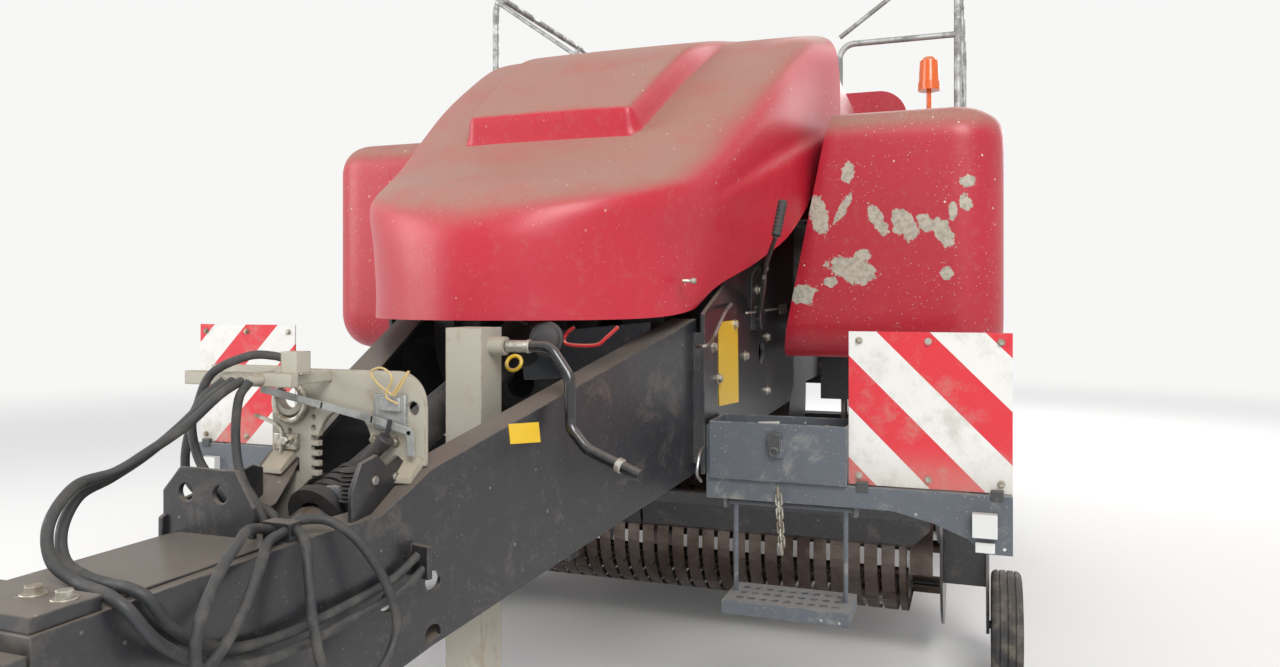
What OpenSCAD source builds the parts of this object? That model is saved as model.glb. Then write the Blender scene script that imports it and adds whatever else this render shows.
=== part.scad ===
// Large square baler, standing parked on its jack, its pickup wheels and its road wheels.
// X points to the machine's left side, Y to its rear, Z up. The ground is z = 0.

/* [Hitch and tongue] */
// Front end of the machine, at the nose of the hitch ring
front_y = -3575; // [-3700:5:-3500]
// Height of the hitch ring above the ground
hitch_z = 800; // [760:5:860]
// Bore of the hitch ring
ring_bore = 50; // [40:1:52]
// Outer diameter of the hitch ring
ring_d = 120; // [105:1:135]
// Thickness of the hitch ring
ring_t = 45; // [35:1:60]
// Front face of the tongue box, where the hitch bolts on
box_front_y = -3180; // [-3230:5:-3120]
// Rear end of the tongue box, where the two beams part
box_rear_y = -2640; // [-2700:5:-2600]
// Width of the tongue box
box_w = 270; // [240:5:300]
// Underside of the tongue box
box_bottom_z = 655; // [620:5:700]
// Top of the tongue box
box_top_z = 1005; // [960:5:1040]
// Plate thickness of the tongue
tongue_t = 12; // [8:1:16]
// Width of the flanges of the tongue beams
flange_w = 85; // [60:5:100]
// Rear end of the tongue beams
beam_rear_y = -1430; // [-1460:5:-1400]
// Top of the tongue beams at their rear end
beam_rear_top_z = 1385; // [1340:5:1400]
// Underside of the tongue beams at their rear end
beam_rear_bottom_z = 935; // [900:5:980]

/* [Chassis] */
// Distance between the outer faces of the two side plates
plate_span = 1080; // [1040:10:1120]
// Thickness of the side plates
plate_t = 12; // [8:1:16]
// Rear end of the side plates
plate_rear_y = -60; // [-120:5:-30]

/* [Jack] */
// Side place of the parking jack
jack_x = 105; // [100:1:115]
// Fore and aft place of the parking jack
jack_y = -2010; // [-2040:5:-1990]
// Outside of the jack's square tube
jack_w = 100; // [90:1:106]
// Wall of the jack's square tube
jack_t = 6; // [4:1:8]
// Top of the jack's tube
jack_top_z = 1372; // [1300:2:1374]
// Lower end of the jack's tube
jack_low_z = 470; // [420:5:520]
// Clearance round the sliding leg
jack_gap = 5; // [5:1:7]
// Diameter of the jack's foot
foot_d = 230; // [180:5:260]
// How far the leg can be drawn up
jack_stroke = 380; // [300:10:390]

/* [Driveline] */
// Height of the flywheel's axis
fly_z = 1350; // [1330:5:1370]
// Diameter of the flywheel
fly_d = 800; // [700:10:840]
// Width of the flywheel's rim
fly_w = 120; // [90:5:140]
// Front face of the flywheel
fly_y = -1400; // [-1420:5:-1380]
// Diameter of the drive shaft's plastic guard tube
guard_d = 105; // [90:1:112]
// Diameter of the drive shaft inside its guard
shaft_d = 62; // [50:1:70]
// Bore of the drive shaft's front yoke
pto_bore = 44.4; // [34.8:0.1:44.6]

/* [Hood] */
// Lower edge of the hood's front face
hood_low_z = 1387; // [1384:1:1400]
// Front of the hood at its middle
hood_front_y = -1950; // [-1990:5:-1935]
// Rear edge of the hood
hood_rear_y = -300; // [-340:5:-260]
// Top of the hood at its rear edge
hood_top_z = 2500; // [2460:5:2540]
// Half the hood's width at its front corners
hood_front_x = 492; // [470:2:505]
// Half the hood's width at its rear edge
hood_rear_x = 765; // [740:5:780]
// Thickness of the moulded panels
panel_t = 7; // [5:1:10]
// Height of the hood's raised crown
crown_h = 75; // [50:1:85]
// Front edge of the hood's raised crown
crown_y = -1375; // [-1420:5:-1340]
// Half the width of the crown at its front edge
crown_x = 300; // [260:5:330]

/* [Front shields] */
// Front face of the two shields beside the hood
shield_y = -730; // [-780:5:-700]
// Rear edge of the two shields
shield_rear_y = 250; // [200:5:255]
// Half the overall width over the shields and the side covers
cover_x = 1370; // [1340:5:1390]
// Lower edge of the shields
shield_low_z = 1230; // [1200:5:1260]
// Top of the shields
shield_top_z = 2115; // [2060:5:2150]
// Inner edge of the shields at the bottom
shield_in_low_x = 615; // [600:5:640]
// Inner edge of the shields at the top
shield_in_top_x = 792; // [790:2:810]

/* [Platform and step] */
// Front face of the cross beam that carries boards, toolbox and step
cross_y = -1430; // [-1450:5:-1410]
// Depth of the cross beam
cross_depth = 80; // [60:5:100]
// Top of the cross beam
cross_top_z = 925; // [900:5:940]
// Height of the cross beam
cross_h = 60; // [50:5:80]
// Side of the square warning boards
board_w = 423; // [400:1:440]
// Side place of the step's middle
step_x = 778; // [760:2:800]
// Width of the step's tread
step_w = 315; // [280:5:330]
// Top of the step's tread
step_z = 590; // [560:5:640]
// Width of the toolbox
toolbox_w = 392; // [360:2:394]
// Height of the toolbox
toolbox_h = 165; // [140:5:180]

/* [Pickup] */
// Height of the pickup drum's axis
drum_z = 430; // [420:2:440]
// Fore and aft place of the pickup drum's axis
drum_y = -60; // [-80:5:-50]
// Outer radius of the stripper bands
band_r = 262; // [250:2:270]
// Spacing of the tines along the drum
tine_pitch = 66; // [64:1:70]
// Number of tine gaps
tine_n = 31; // [27:2:31]
// Gap between neighbouring stripper bands
band_gap = 16; // [16:1:20]
// Diameter of the tines' spring wire
tine_d = 5.5; // [5:0.5:6]
// Reach of the tine tips from the drum's axis
tine_r = 312; // [300:2:320]
// Width of the flared band at each end of the drum
end_band_w = 140; // [120:5:150]
// Width of the shield at each end of the pickup
end_shield_w = 185; // [160:5:190]
// Diameter of the gauge wheels
gauge_d = 410; // [380:5:420]
// Width of the gauge wheels
gauge_w = 108; // [90:2:120]
// Fore and aft place of the gauge wheels
gauge_y = -270; // [-300:5:-250]
// Diameter of the gauge wheels' axle stubs
gauge_pin = 30; // [25:1:32]
// Diameter of the pickup's pivot pins
pickup_pin = 60; // [50:1:70]

/* [Bale chamber] */
// Width inside the bale chamber
bale_w = 800; // [780:10:820]
// Height inside the bale chamber
bale_h = 880; // [860:10:900]
// Floor of the bale chamber
floor_z = 1010; // [1000:5:1020]
// Wall of the bale chamber
wall_t = 10; // [8:1:12]
// Front end of the bale chamber
chamber_front_y = -40; // [-45:5:0]
// Rear end of the bale chamber
chamber_rear_y = 3290; // [3250:10:3310]
// Length of the plunger
plunger_len = 420; // [380:10:440]
// Stroke of the plunger
plunger_stroke = 560; // [500:10:580]
// Clearance round the plunger
plunger_gap = 8; // [6:1:12]
// Radius of the feed duct's lower pan
duct_r = 700; // [680:5:710]
// Height of the feed duct
duct_h = 440; // [400:5:450]

/* [Needles and knotters] */
// Number of needles and knotters
needle_n = 6; // [4:2:6]
// Spacing of the needles
needle_pitch = 130; // [120:2:136]
// Radius of the needles about the yoke's pivot
needle_r = 850; // [845:1:855]
// Fore and aft place of the yoke's pivot
yoke_y = 1880; // [1870:2:1890]
// Height of the yoke's pivot
yoke_z = 1250; // [1245:1:1255]
// Angle that the yoke swings through
yoke_swing = 72; // [60:1:73]
// Diameter of the yoke's pivot pins
yoke_pin = 60; // [50:1:64]

/* [Road wheels] */
// Fore and aft place of the axle
axle_y = 2150; // [2140:5:2180]
// Outer diameter of the tyres
tyre_d = 1240; // [1200:5:1250]
// Width of the tyres
tyre_w = 600; // [560:10:610]
// Half the track width
track_x = 1052; // [1045:1:1060]
// Diameter of the rims
rim_d = 572; // [560:2:580]
// Side of the square axle beam
axle_w = 150; // [130:5:160]
// Diameter of the wheel spindles
spindle_d = 110; // [90:2:120]

/* [Side covers] */
// Underside of the twine boxes
twine_low_z = 1330; // [1310:5:1350]
// Top of the twine boxes
twine_top_z = 2125; // [2100:5:2130]
// Inner wall of the twine boxes
twine_in_x = 600; // [580:5:640]
// Rear end of the twine boxes
twine_rear_y = 2900; // [2820:10:2940]
// Gap between neighbouring covers
cover_gap = 18; // [16:1:24]

/* [Top and rear] */
// Top of the handrails, the highest point of the machine
rail_top_z = 3130; // [3050:5:3180]
// Diameter of the handrail tubes
rail_d = 34; // [27:1:42]
// Rear end of the machine, at the folded chute
rear_y = 3575; // [3500:5:3650]
// Fore and aft place of the chute's hinge
chute_y = 3360; // [3350:2:3370]
// Length of the chute
chute_len = 1500; // [1400:10:1550]
// Number of rollers in the chute
roller_n = 7; // [5:1:8]

/* [Hidden] */

$fn = 48;
eps = 0.5;
// Radial running clearance of pins in their bores
run_gap = 0.05;

// Tongue: the beams spread from the box to the side plates
beam_front_x = box_w / 2 - tongue_t;
beam_rear_x = plate_span / 2 - plate_t - 30;
beam_run_y = beam_rear_y - box_rear_y;
beam_angle = atan((beam_rear_x - beam_front_x) / beam_run_y);
beam_len = beam_run_y / cos(beam_angle);
// Beam outline, columns: share of the length, top height, underside height
beam_table = [
  [0, box_top_z, box_bottom_z],
  [0.12, box_top_z + 10, box_bottom_z + 32],
  [0.17, box_top_z + 44, box_bottom_z + 48],
  [0.22, box_top_z + 82, box_bottom_z + 66],
  [1, beam_rear_top_z, beam_rear_bottom_z]];
function beam_point(x, y) = [
  beam_front_x + x * cos(beam_angle) + y * sin(beam_angle),
  box_rear_y - x * sin(beam_angle) + y * cos(beam_angle)];
function beam_top(y) =
  lookup((y - box_rear_y) / beam_run_y, [for (r = beam_table) [r[0], r[1]]]);
// Round holes in the beam's web, columns: distance from the beam's front, height
beam_holes = [[170, 843], [285, 856], [285, 745]];
beam_hole_d = 42;

// Drive line: guard and shaft run from the front yoke to the flywheel's hub
pto_front = [-62, -2500, 925];
pto_rear = [0, fly_y - 65, fly_z];
joint_d = 84;
input_d = 90;

jack_in_w = jack_w - 2 * jack_t;
jack_leg_w = jack_in_w - 2 * jack_gap;

chamber_out_x = bale_w / 2 + wall_t;
roof_z = floor_z + bale_h;

duct_y = 300;
duct_z = floor_z;
duct_out_y = duct_y + duct_r;

pickup_half = (tine_n - 1) / 2 * tine_pitch;
pickup_pivot_y = 420;
pickup_pivot_z = 640;
pickup_x = pickup_half + end_band_w;
guard_y = -490;
guard_z = 660;
guard_pin = 40;
reel_pin = 50;
leg_len = 205;

// Hoses: outer diameter, and the points that each one runs through, from its coupling on
hose_d = 18;
coupling_y = -2545;
coupling_z = 1276;
block_z = 1024;
bundle_inner = [
  [-143, coupling_y, coupling_z], [-146, -2600, 1248], [-146, -2680, 1196], [-138, -2760, 1158],
  [-128, -2840, 1132], [-108, -2915, 1118], [-80, -2968, 1078], [-48, -2988, 1035], [10, -2996, 1018],
  [74, -3010, 1018], [120, -3022, 1021], [151, -3014, 1006], [158, -2976, 950], [156, -2910, 905],
  [156, -2850, 878],
  [158, -2740, 862], [172, -2600, 868], [200, -2490, 890], [221, -2430, 925]];
bundle_outer = [
  [-121, coupling_y, coupling_z], [-122, -2602, 1252], [-122, -2684, 1202], [-116, -2768, 1170],
  [-104, -2850, 1146], [-86, -2940, 1140], [-64, -3002, 1096], [-34, -3022, 1046], [20, -3024, 1020],
  [74, -3040, 1020], [120, -3054, 1020], [156, -3052, 1002], [172, -3020, 950], [175, -2950, 895],
  [174, -2850, 852],
  [174, -2740, 838], [188, -2600, 845], [216, -2490, 866], [236, -2430, 900]];
arch = [
  [-60, -2482, 1316], [-92, -2486, 1324], [-132, -2516, 1324], [-196, -2548, 1288], [-224, -2560, 1215],
  [-238, -2572, 1140], [-232, -2576, 1082], [-204, -2568, 1046], [-150, -2560, 1033], [-90, -2558, 1032],
  [-36, -2560, 1020], [2, -2572, 985], [14, -2585, 930], [22, -2612, 860], [32, -2660, 780],
  [36, -2720, 706], [36, -2800, 677]];
middle = [
  [-99, coupling_y, coupling_z], [-112, -2562, 1240], [-110, -2572, 1160], [-84, -2584, 1090],
  [-36, -2592, 1036], [-14, -2594, 990], [-8, -2597, 930], [-4, -2614, 865], [2, -2655, 782],
  [5, -2720, 704], [5, -2800, 677]];
lower = [
  [-165, coupling_y, coupling_z], [-192, -2576, 1240], [-200, -2595, 1190], [-162, -2610, 1118],
  [-94, -2618, 1064], [-45, -2614, 1008], [-37, -2610, 955], [-33, -2620, 880], [-28, -2660, 788],
  [-26, -2722, 704], [-26, -2800, 677]];
loop_front = [
  [84, -2690, block_z], [96, -2740, 1040], [130, -2800, 1052], [172, -2862, 1052], [200, -2930, 1026],
  [213, -2978, 975], [214, -2990, 925], [206, -2972, 893], [196, -2925, 902], [186, -2866, 946],
  [160, -2800, 1000], [126, -2745, 1020], [113, -2690, block_z]];
loop_side = [
  [100, -2660, block_z], [112, -2640, 1034], [160, -2620, 1030], [208, -2595, 985], [240, -2560, 900],
  [252, -2548, 820], [250, -2590, 762], [234, -2650, 748], [212, -2702, 792], [196, -2712, 870],
  [182, -2708, 950], [160, -2692, 1010], [125, -2672, block_z]];

hood_pin = 16;
hood_pin_y = hood_rear_y + 12;
hood_pin_z = hood_top_z - 66;
hood_lug_x = 362;
hood_lug_w = 36;

shield_pin = 18;
shield_pin_x = cover_x - 20;
shield_pin_y = shield_rear_y - 20;

door_pin = 16;
door_pin_x = cover_x - 112;
door_pin_z = twine_top_z - 14;
twine_front_y = shield_rear_y + cover_gap + 8;
twine_out_x = door_pin_x - 12;

step_pin = 14;
step_pin_y = cross_y + 34;
step_pin_z = cross_top_z - cross_h - 14;

yoke_arm_x = chamber_out_x + 70;
chute_z = floor_z - 40;
chute_pin = 40;
chute_x = 430;

knot_pin = 16;
knot_front_y = 1130;
knot_rear_y = 1930;
knot_low_z = twine_top_z + 12;
knot_x = 930;

module box(x0, x1, y0, y1, z0, z1) {
  translate([x0, y0, z0]) cube([x1 - x0, y1 - y0, z1 - z0]);
}

// Draws a (y, z) outline and gives it the thickness from x0 to x1
module side_cut(x0, x1) {
  translate([x0, 0, 0]) rotate([90, 0, 90]) linear_extrude(x1 - x0) children();
}

// Draws an (x, z) outline and gives it the thickness from y0 to y1
module front_cut(y0, y1) {
  translate([0, y1, 0]) rotate([90, 0, 0]) linear_extrude(y1 - y0) children();
}

// Turns the Z axis of its children to run from p to q
module along(p, q) {
  d = q - p;
  translate(p) rotate([0, acos(d[2] / norm(d)), atan2(d[1], d[0])]) children();
}

module rod(p, q, d) {
  along(p, q) cylinder(h = norm(q - p), d = d, $fn = 48);
}

// A quarter-like bend of a round tube round corner p, from direction u to direction v
module tube_bend(p, u, v, d, bend_r) {
  turn = acos(u * v);
  side = cross(u, v) / norm(cross(u, v));
  out = cross(u, side);
  centre = p - u * bend_r * tan(turn / 2) - out * bend_r;
  multmatrix([
    [out[0], u[0], side[0], centre[0]],
    [out[1], u[1], side[1], centre[1]],
    [out[2], u[2], side[2], centre[2]]])
    rotate_extrude(angle = turn, $fn = 72) translate([bend_r, 0]) circle(d = d + 1, $fn = 48);
}

// A bent round tube through the listed points, each corner bent to the radius bend_r
module bent_tube(points, d, bend_r) {
  n = len(points);
  lap = 1.5;
  dirs = [for (i = [0 : n - 2]) (points[i + 1] - points[i]) / norm(points[i + 1] - points[i])];
  cut = [for (i = [0 : n - 1])
    i == 0 || i == n - 1 ? 0 : bend_r * tan(acos(dirs[i - 1] * dirs[i]) / 2)];
  for (i = [0 : n - 2])
    rod(points[i] + dirs[i] * (cut[i] - (i > 0 ? lap : 0)),
      points[i + 1] - dirs[i] * (cut[i + 1] - (i < n - 2 ? lap : 0)), d);
  for (i = [1 : n - 2]) tube_bend(points[i], dirs[i - 1], dirs[i], d, bend_r);
}

// Smooth curve through the listed points, with n places on each stretch between two of them
function through(p, n) = [
  for (i = [0 : len(p) - 2]) for (j = [0 : n - 1])
    let (a = i == 0 ? 2 * p[0] - p[1] : p[i - 1], b = p[i], c = p[i + 1],
      d = i == len(p) - 2 ? 2 * c - b : p[i + 2], f = j / n)
    0.5 * (2 * b + (c - a) * f + (2 * a - 5 * b + 4 * c - d) * f * f
      + (3 * b - 3 * c + d - a) * f * f * f),
  p[len(p) - 1]];

// A plain hose along a curve, eight-sided, with rings that stay square to it
module hose(points) {
  p = through(points, 2);
  n = len(p);
  sides = 8;
  tangent = [for (i = [0 : n - 1])
    let (t = p[min(n - 1, i + 1)] - p[max(0, i - 1)]) t / norm(t)];
  function turned(v, i) = let (w = v - (v * tangent[i]) * tangent[i]) w / norm(w);
  function frames(i, v) = i == n ? [] : let (w = turned(v, i)) concat([w], frames(i + 1, w));
  normal = frames(0, abs(tangent[0][2]) > 0.9 ? [1, 0, 0] : [0, 0, 1]);
  rings = [for (i = [0 : n - 1]) for (k = [0 : sides - 1])
    p[i] + hose_d / 2 * (cos(360 * k / sides) * normal[i]
      + sin(360 * k / sides) * cross(tangent[i], normal[i]))];
  skin = [for (i = [0 : n - 2]) for (k = [0 : sides - 1])
    let (a = i * sides + k, b = i * sides + (k + 1) % sides)
    for (f = [[a, b + sides, b], [a, a + sides, b + sides]]) f];
  first = [for (k = [0 : sides - 1]) k];
  last = [for (k = [sides - 1 : -1 : 0]) (n - 1) * sides + k];
  color("#26272a") polyhedron(rings, concat([first, last], skin), convexity = 8);
}

module both_sides() {
  children();
  mirror([1, 0, 0]) children();
}

// A wheel-like body whose axis runs along X, drawn as a (radius, x) outline
module turned_x(fn = 72) {
  rotate([0, 90, 0]) rotate_extrude($fn = fn) children();
}

module hose_inner() hose(bundle_inner);

module hose_outer() hose(bundle_outer);

module hose_arch() hose(arch);

module hose_middle() hose(middle);

module hose_lower() hose(lower);

module hose_front() hose(loop_front);

module hose_side() hose(loop_side);

module hitch_ring() {
  ring_y = front_y + ring_d / 2;
  plate_t_front = 30;
  color("dimgray") difference() {
    union() {
      translate([0, ring_y, hitch_z - ring_t / 2]) cylinder(h = ring_t, d = ring_d, $fn = 64);
      box(-45, 45, ring_y + ring_bore / 2 + 8, box_front_y - plate_t_front, hitch_z - ring_t / 2,
        hitch_z + ring_t / 2);
      side_cut(-20, 20) polygon([
        [ring_y + ring_d / 2 + 60, hitch_z], [box_front_y - plate_t_front, hitch_z - 110],
        [box_front_y - plate_t_front, hitch_z + 150]]);
      box(-box_w / 2 + 5, box_w / 2 - 5, box_front_y - plate_t_front, box_front_y,
        box_bottom_z + 5, box_top_z - 25);
    }
    translate([0, ring_y, hitch_z - ring_t]) cylinder(h = 2 * ring_t, d = ring_bore, $fn = 64);
  }
  color("silver") both_sides()
    for (row = [0 : 3])
      translate([box_w / 2 - 30, box_front_y - plate_t_front - 14, box_bottom_z + 45 + 75 * row])
        rotate([-90, 0, 0]) cylinder(h = 14 + eps, d = 32, $fn = 6);
}

module beam_side() {
  top = [for (r = beam_table) [r[0] * beam_len, r[1]]];
  low = [for (i = [len(beam_table) - 1 : -1 : 0])
    [beam_table[i][0] * beam_len, beam_table[i][2]]];
  top_low = [for (i = [len(beam_table) - 1 : -1 : 0])
    [beam_table[i][0] * beam_len, beam_table[i][1] - tongue_t]];
  low_top = [for (r = beam_table) [r[0] * beam_len, r[2] + tongue_t]];
  translate([beam_front_x, box_rear_y, 0]) rotate([0, 0, -beam_angle]) {
    difference() {
      side_cut(0, tongue_t) polygon(concat(top, low));
      for (h = beam_holes)
        translate([-tongue_t, h[0], h[1]]) rotate([0, 90, 0]) cylinder(h = 3 * tongue_t, d = beam_hole_d);
    }
    side_cut(tongue_t - flange_w, tongue_t) polygon(concat(top, top_low));
    side_cut(tongue_t - flange_w, tongue_t) polygon(concat(low_top, low));
  }
}

module tongue() {
  mid_y = jack_y + jack_w / 2;
  cross_x = beam_front_x + (mid_y + 30 - box_rear_y) * tan(beam_angle);
  color("#26282b") {
    difference() {
      box(-box_w / 2, box_w / 2, box_front_y, box_rear_y, box_bottom_z, box_top_z);
      box(-box_w / 2 + tongue_t, box_w / 2 - tongue_t, box_front_y + tongue_t, box_rear_y + eps,
        box_bottom_z + tongue_t, box_top_z - tongue_t);
    }
    both_sides() beam_side();
    // Cross box behind the jack
    box(-cross_x, cross_x, mid_y, mid_y + 60, 800, 900);
    // Cross plate at the rear, below the flywheel
    box(-beam_rear_x, beam_rear_x, beam_rear_y - 40, beam_rear_y - 20, beam_rear_bottom_z + 12,
      beam_rear_bottom_z + 70);
    // Block on the box that both loops of hose start from
    box(64, 125, -2690, -2660, box_top_z - eps, box_top_z + 34);
    // Bracket on the left beam where the hose bundle ends
    translate([beam_front_x, box_rear_y, 0]) rotate([0, 0, -beam_angle])
      box(tongue_t - eps, tongue_t + 50, 228, 240, box_top_z - 125, box_top_z - 60);
    // Upright plate with two holes on the box
    difference() {
      front_cut(-2710, -2700) polygon([
        [-150, box_top_z - 60], [-box_w / 2, box_top_z - 60], [-box_w / 2, box_top_z - eps],
        [60, box_top_z - eps], [60, box_top_z + 60], [20, box_top_z + 125],
        [-110, box_top_z + 125], [-150, box_top_z + 80]]);
      for (x = [-95, -15])
        translate([x, -2720, box_top_z + 80]) rotate([-90, 0, 0]) cylinder(h = 40, d = 34);
    }
  }
}

module side_plates() {
  x1 = plate_span / 2;
  bearing_y = -1180;
  color("#2a2c30") {
    both_sides() difference() {
      side_cut(x1 - plate_t, x1) polygon([
        [beam_rear_y - 20, beam_rear_bottom_z], [-865, 1000], [plate_rear_y - 70, floor_z + 5],
        [plate_rear_y, floor_z + 75], [plate_rear_y, 1930], [-520, 1930], [-880, 1740],
        [-1180, 1530], [-1240, 1478], [beam_rear_y - 20, beam_rear_top_z + 15]]);
      translate([x1 - 2 * plate_t, -700, 1250]) rotate([0, 90, 0]) cylinder(h = 4 * plate_t, d = 90);
    }
    // Bridge between beam and plate
    both_sides() translate([0, 0, beam_rear_bottom_z + 30])
      linear_extrude(beam_rear_top_z - beam_rear_bottom_z - 70) polygon([
        beam_point(tongue_t + 0.3, beam_len - 18), beam_point(tongue_t + 0.3, beam_len),
        [x1 - plate_t + eps, beam_rear_y - 3], [x1 - plate_t + eps, beam_rear_y - 20]]);
    // Front bearing wall of the flywheel's shaft
    difference() {
      box(-x1 + plate_t, x1 - plate_t, bearing_y, bearing_y + 20, 1010, 1540);
      translate([0, bearing_y - 10, fly_z]) rotate([-90, 0, 0])
        cylinder(h = 60, d = input_d + 2 * run_gap, $fn = 64);
      both_sides()
        translate([330, bearing_y - 10, 1250]) rotate([-90, 0, 0]) cylinder(h = 60, d = 180);
    }
    // Lower cross plate that carries the gearbox
    box(-x1 + plate_t, x1 - plate_t, -640, -140, 1050, 1070);
    // Brackets that carry the top cover
    both_sides() box(x1 - plate_t, 712, -240, -180, 1890, 1930);
    // Rear frames that tie the plates to the chamber's walls
    both_sides()
      box(chamber_out_x, x1 - plate_t, plate_rear_y - 60, plate_rear_y - 40, 1080, 1900);
  }
}

module jack_tube() {
  color("#b9b5a6") difference() {
    box(jack_x - jack_w / 2, jack_x + jack_w / 2, jack_y - jack_w / 2, jack_y + jack_w / 2, jack_low_z,
      jack_top_z);
    box(jack_x - jack_in_w / 2, jack_x + jack_in_w / 2, jack_y - jack_in_w / 2, jack_y + jack_in_w / 2,
      jack_low_z - eps, jack_top_z - jack_t);
  }
  // Gear head of the side crank
  color("silver")
    translate([jack_x + jack_w / 2, jack_y, jack_top_z - 45]) rotate([0, 90, 0])
      cylinder(h = 40, d = 46);
}

module jack_leg() {
  leg_top = jack_top_z - jack_t - 12 - jack_stroke;
  color("#8d8f92") {
    difference() {
      box(jack_x - jack_leg_w / 2, jack_x + jack_leg_w / 2, jack_y - jack_leg_w / 2,
        jack_y + jack_leg_w / 2, 12, leg_top);
      box(jack_x - jack_leg_w / 2 + 5, jack_x + jack_leg_w / 2 - 5, jack_y - jack_leg_w / 2 + 5,
        jack_y + jack_leg_w / 2 - 5, 60, leg_top + eps);
    }
    // Slide pads round the head
    difference() {
      box(jack_x - jack_in_w / 2 + 0.3, jack_x + jack_in_w / 2 - 0.3, jack_y - jack_in_w / 2 + 0.3,
        jack_y + jack_in_w / 2 - 0.3, leg_top - 60, leg_top - 20);
      box(jack_x - jack_leg_w / 2 + 2, jack_x + jack_leg_w / 2 - 2, jack_y - jack_leg_w / 2 + 2,
        jack_y + jack_leg_w / 2 - 2, leg_top - 61, leg_top - 19);
    }
    translate([jack_x, jack_y, 0]) cylinder(h = 12, d = foot_d, $fn = 64);
    translate([jack_x, jack_y, 12 - eps]) cylinder(h = 30, d1 = 150, d2 = 110, $fn = 48);
  }
}

module jack_crank() {
  x0 = jack_x + jack_w / 2 + 40;
  z0 = jack_top_z - 45;
  color("#303236") bent_tube([
    [x0, jack_y, z0], [x0 + 120, jack_y, z0], [x0 + 175, jack_y - 10, z0 - 70],
    [x0 + 185, jack_y - 25, z0 - 190], [x0 + 230, jack_y - 35, z0 - 235],
    [x0 + 370, jack_y - 55, z0 - 285]], 27, 45);
}

module notch_plate() {
  y0 = -2370;
  w = 198;
  top = 1289;
  left_top = 1242;
  low = 925;
  foot_z = beam_top(y0) + 0.3;
  shaft_at = pto_front + (y0 - pto_front[1]) / (pto_rear[1] - pto_front[1]) * (pto_rear - pto_front);
  color("#c9c4b2") front_cut(y0, y0 + 12) difference() {
    union() {
      translate([-w, low]) square([2 * w, left_top - low - 40]);
      translate([-w + 40, left_top - 80]) square([80, 80]);
      translate([-w + 40, left_top - 40]) circle(r = 40);
      translate([-w + 80, left_top - 80]) square([2 * w - 150, top - left_top + 80]);
      translate([w - 71, top - 70]) circle(r = 70);
      translate([w - 72, left_top - 80]) square([72, top - left_top + 10]);
    }
    // Arched window, with notches and holes on its inner side
    translate([-4, 1134]) circle(r = 68, $fn = 64);
    translate([-72, 1040]) square([136, 94]);
    for (i = [0 : 4]) translate([-92, 1044 + 22 * i]) square([21, 10]);
    for (i = [0 : 2]) translate([-86, 1160 + 23 * i]) circle(d = 12);
    // Way for the drive shaft, open below
    translate([shaft_at[0], shaft_at[2]]) circle(d = 158, $fn = 64);
    translate([shaft_at[0] - 79, low - 1]) square([158, shaft_at[2] - low + 1]);
    translate([shaft_at[0] - 10, shaft_at[2]]) square([74 - shaft_at[0], 70]);
    translate([-147, 1226]) circle(d = 54);
    translate([168, 1212]) circle(d = 30);
    translate([-150, 1150]) circle(d = 12);
    // Slots for the flanges of the tongue beams
    for (m = [-1, 1]) translate([m * 175, foot_z - 12]) square([100, 32], center = true);
  }
  // Ring round the upper hole
  color("#c9c4b2") front_cut(y0 - 10, y0 + eps) difference() {
    translate([-147, 1226]) circle(d = 82, $fn = 64);
    translate([-147, 1226]) circle(d = 54);
  }
  // Rail with the hose couplings, held by two arms
  color("#8d8a7c") {
    box(-300, -20, y0 - 146, y0 - 126, 1262, 1290);
    for (x = [-190, -52]) box(x, x + 14, y0 - 126 - eps, y0 + eps, 1264, 1284);
    box(-62 + eps, -20, y0 - 130, y0 - 90, 1290 - eps, 1334);
    translate([-60 + eps, -2482, 1316]) rotate([0, 90, 0]) cylinder(h = 20, d = 24);
  }
  color("#a9adb0") for (x = [bundle_inner[0][0], bundle_outer[0][0], middle[0][0], lower[0][0]])
    translate([x, coupling_y + 0.3, coupling_z]) rotate([-90, 0, 0]) cylinder(h = 31, d = 21);
  // Feet of the plate on the tongue beams
  color("#26282b") both_sides()
    side_cut(w - 62, w - 6) polygon([[y0 - 44, beam_top(y0 - 44) + 0.3], [y0 + 2, beam_top(y0 + 2) + 0.3],
      [y0 + 2, beam_top(y0) + 24], [y0 - 44, beam_top(y0 - 44) + 12]]);
}

module drive_shaft() {
  u = (pto_rear - pto_front) / norm(pto_rear - pto_front);
  n = norm(pto_rear - pto_front);
  color("silver") difference() {
    union() {
      along(pto_front, pto_rear) {
        // Front yoke with its bore for the tractor's splined stub
        cylinder(h = 95, d = 84);
        translate([0, 0, 90]) cylinder(h = 15, d = 74);
        translate([0, 0, 100]) cylinder(h = n - 120, d = shaft_d);
        translate([0, 0, n - 95]) cylinder(h = 60, d = 78);
      }
      translate(pto_rear) sphere(d = joint_d, $fn = 64);
    }
    along(pto_front - 10 * u, pto_rear) cylinder(h = 85, d = pto_bore, $fn = 64);
  }
}

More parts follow.
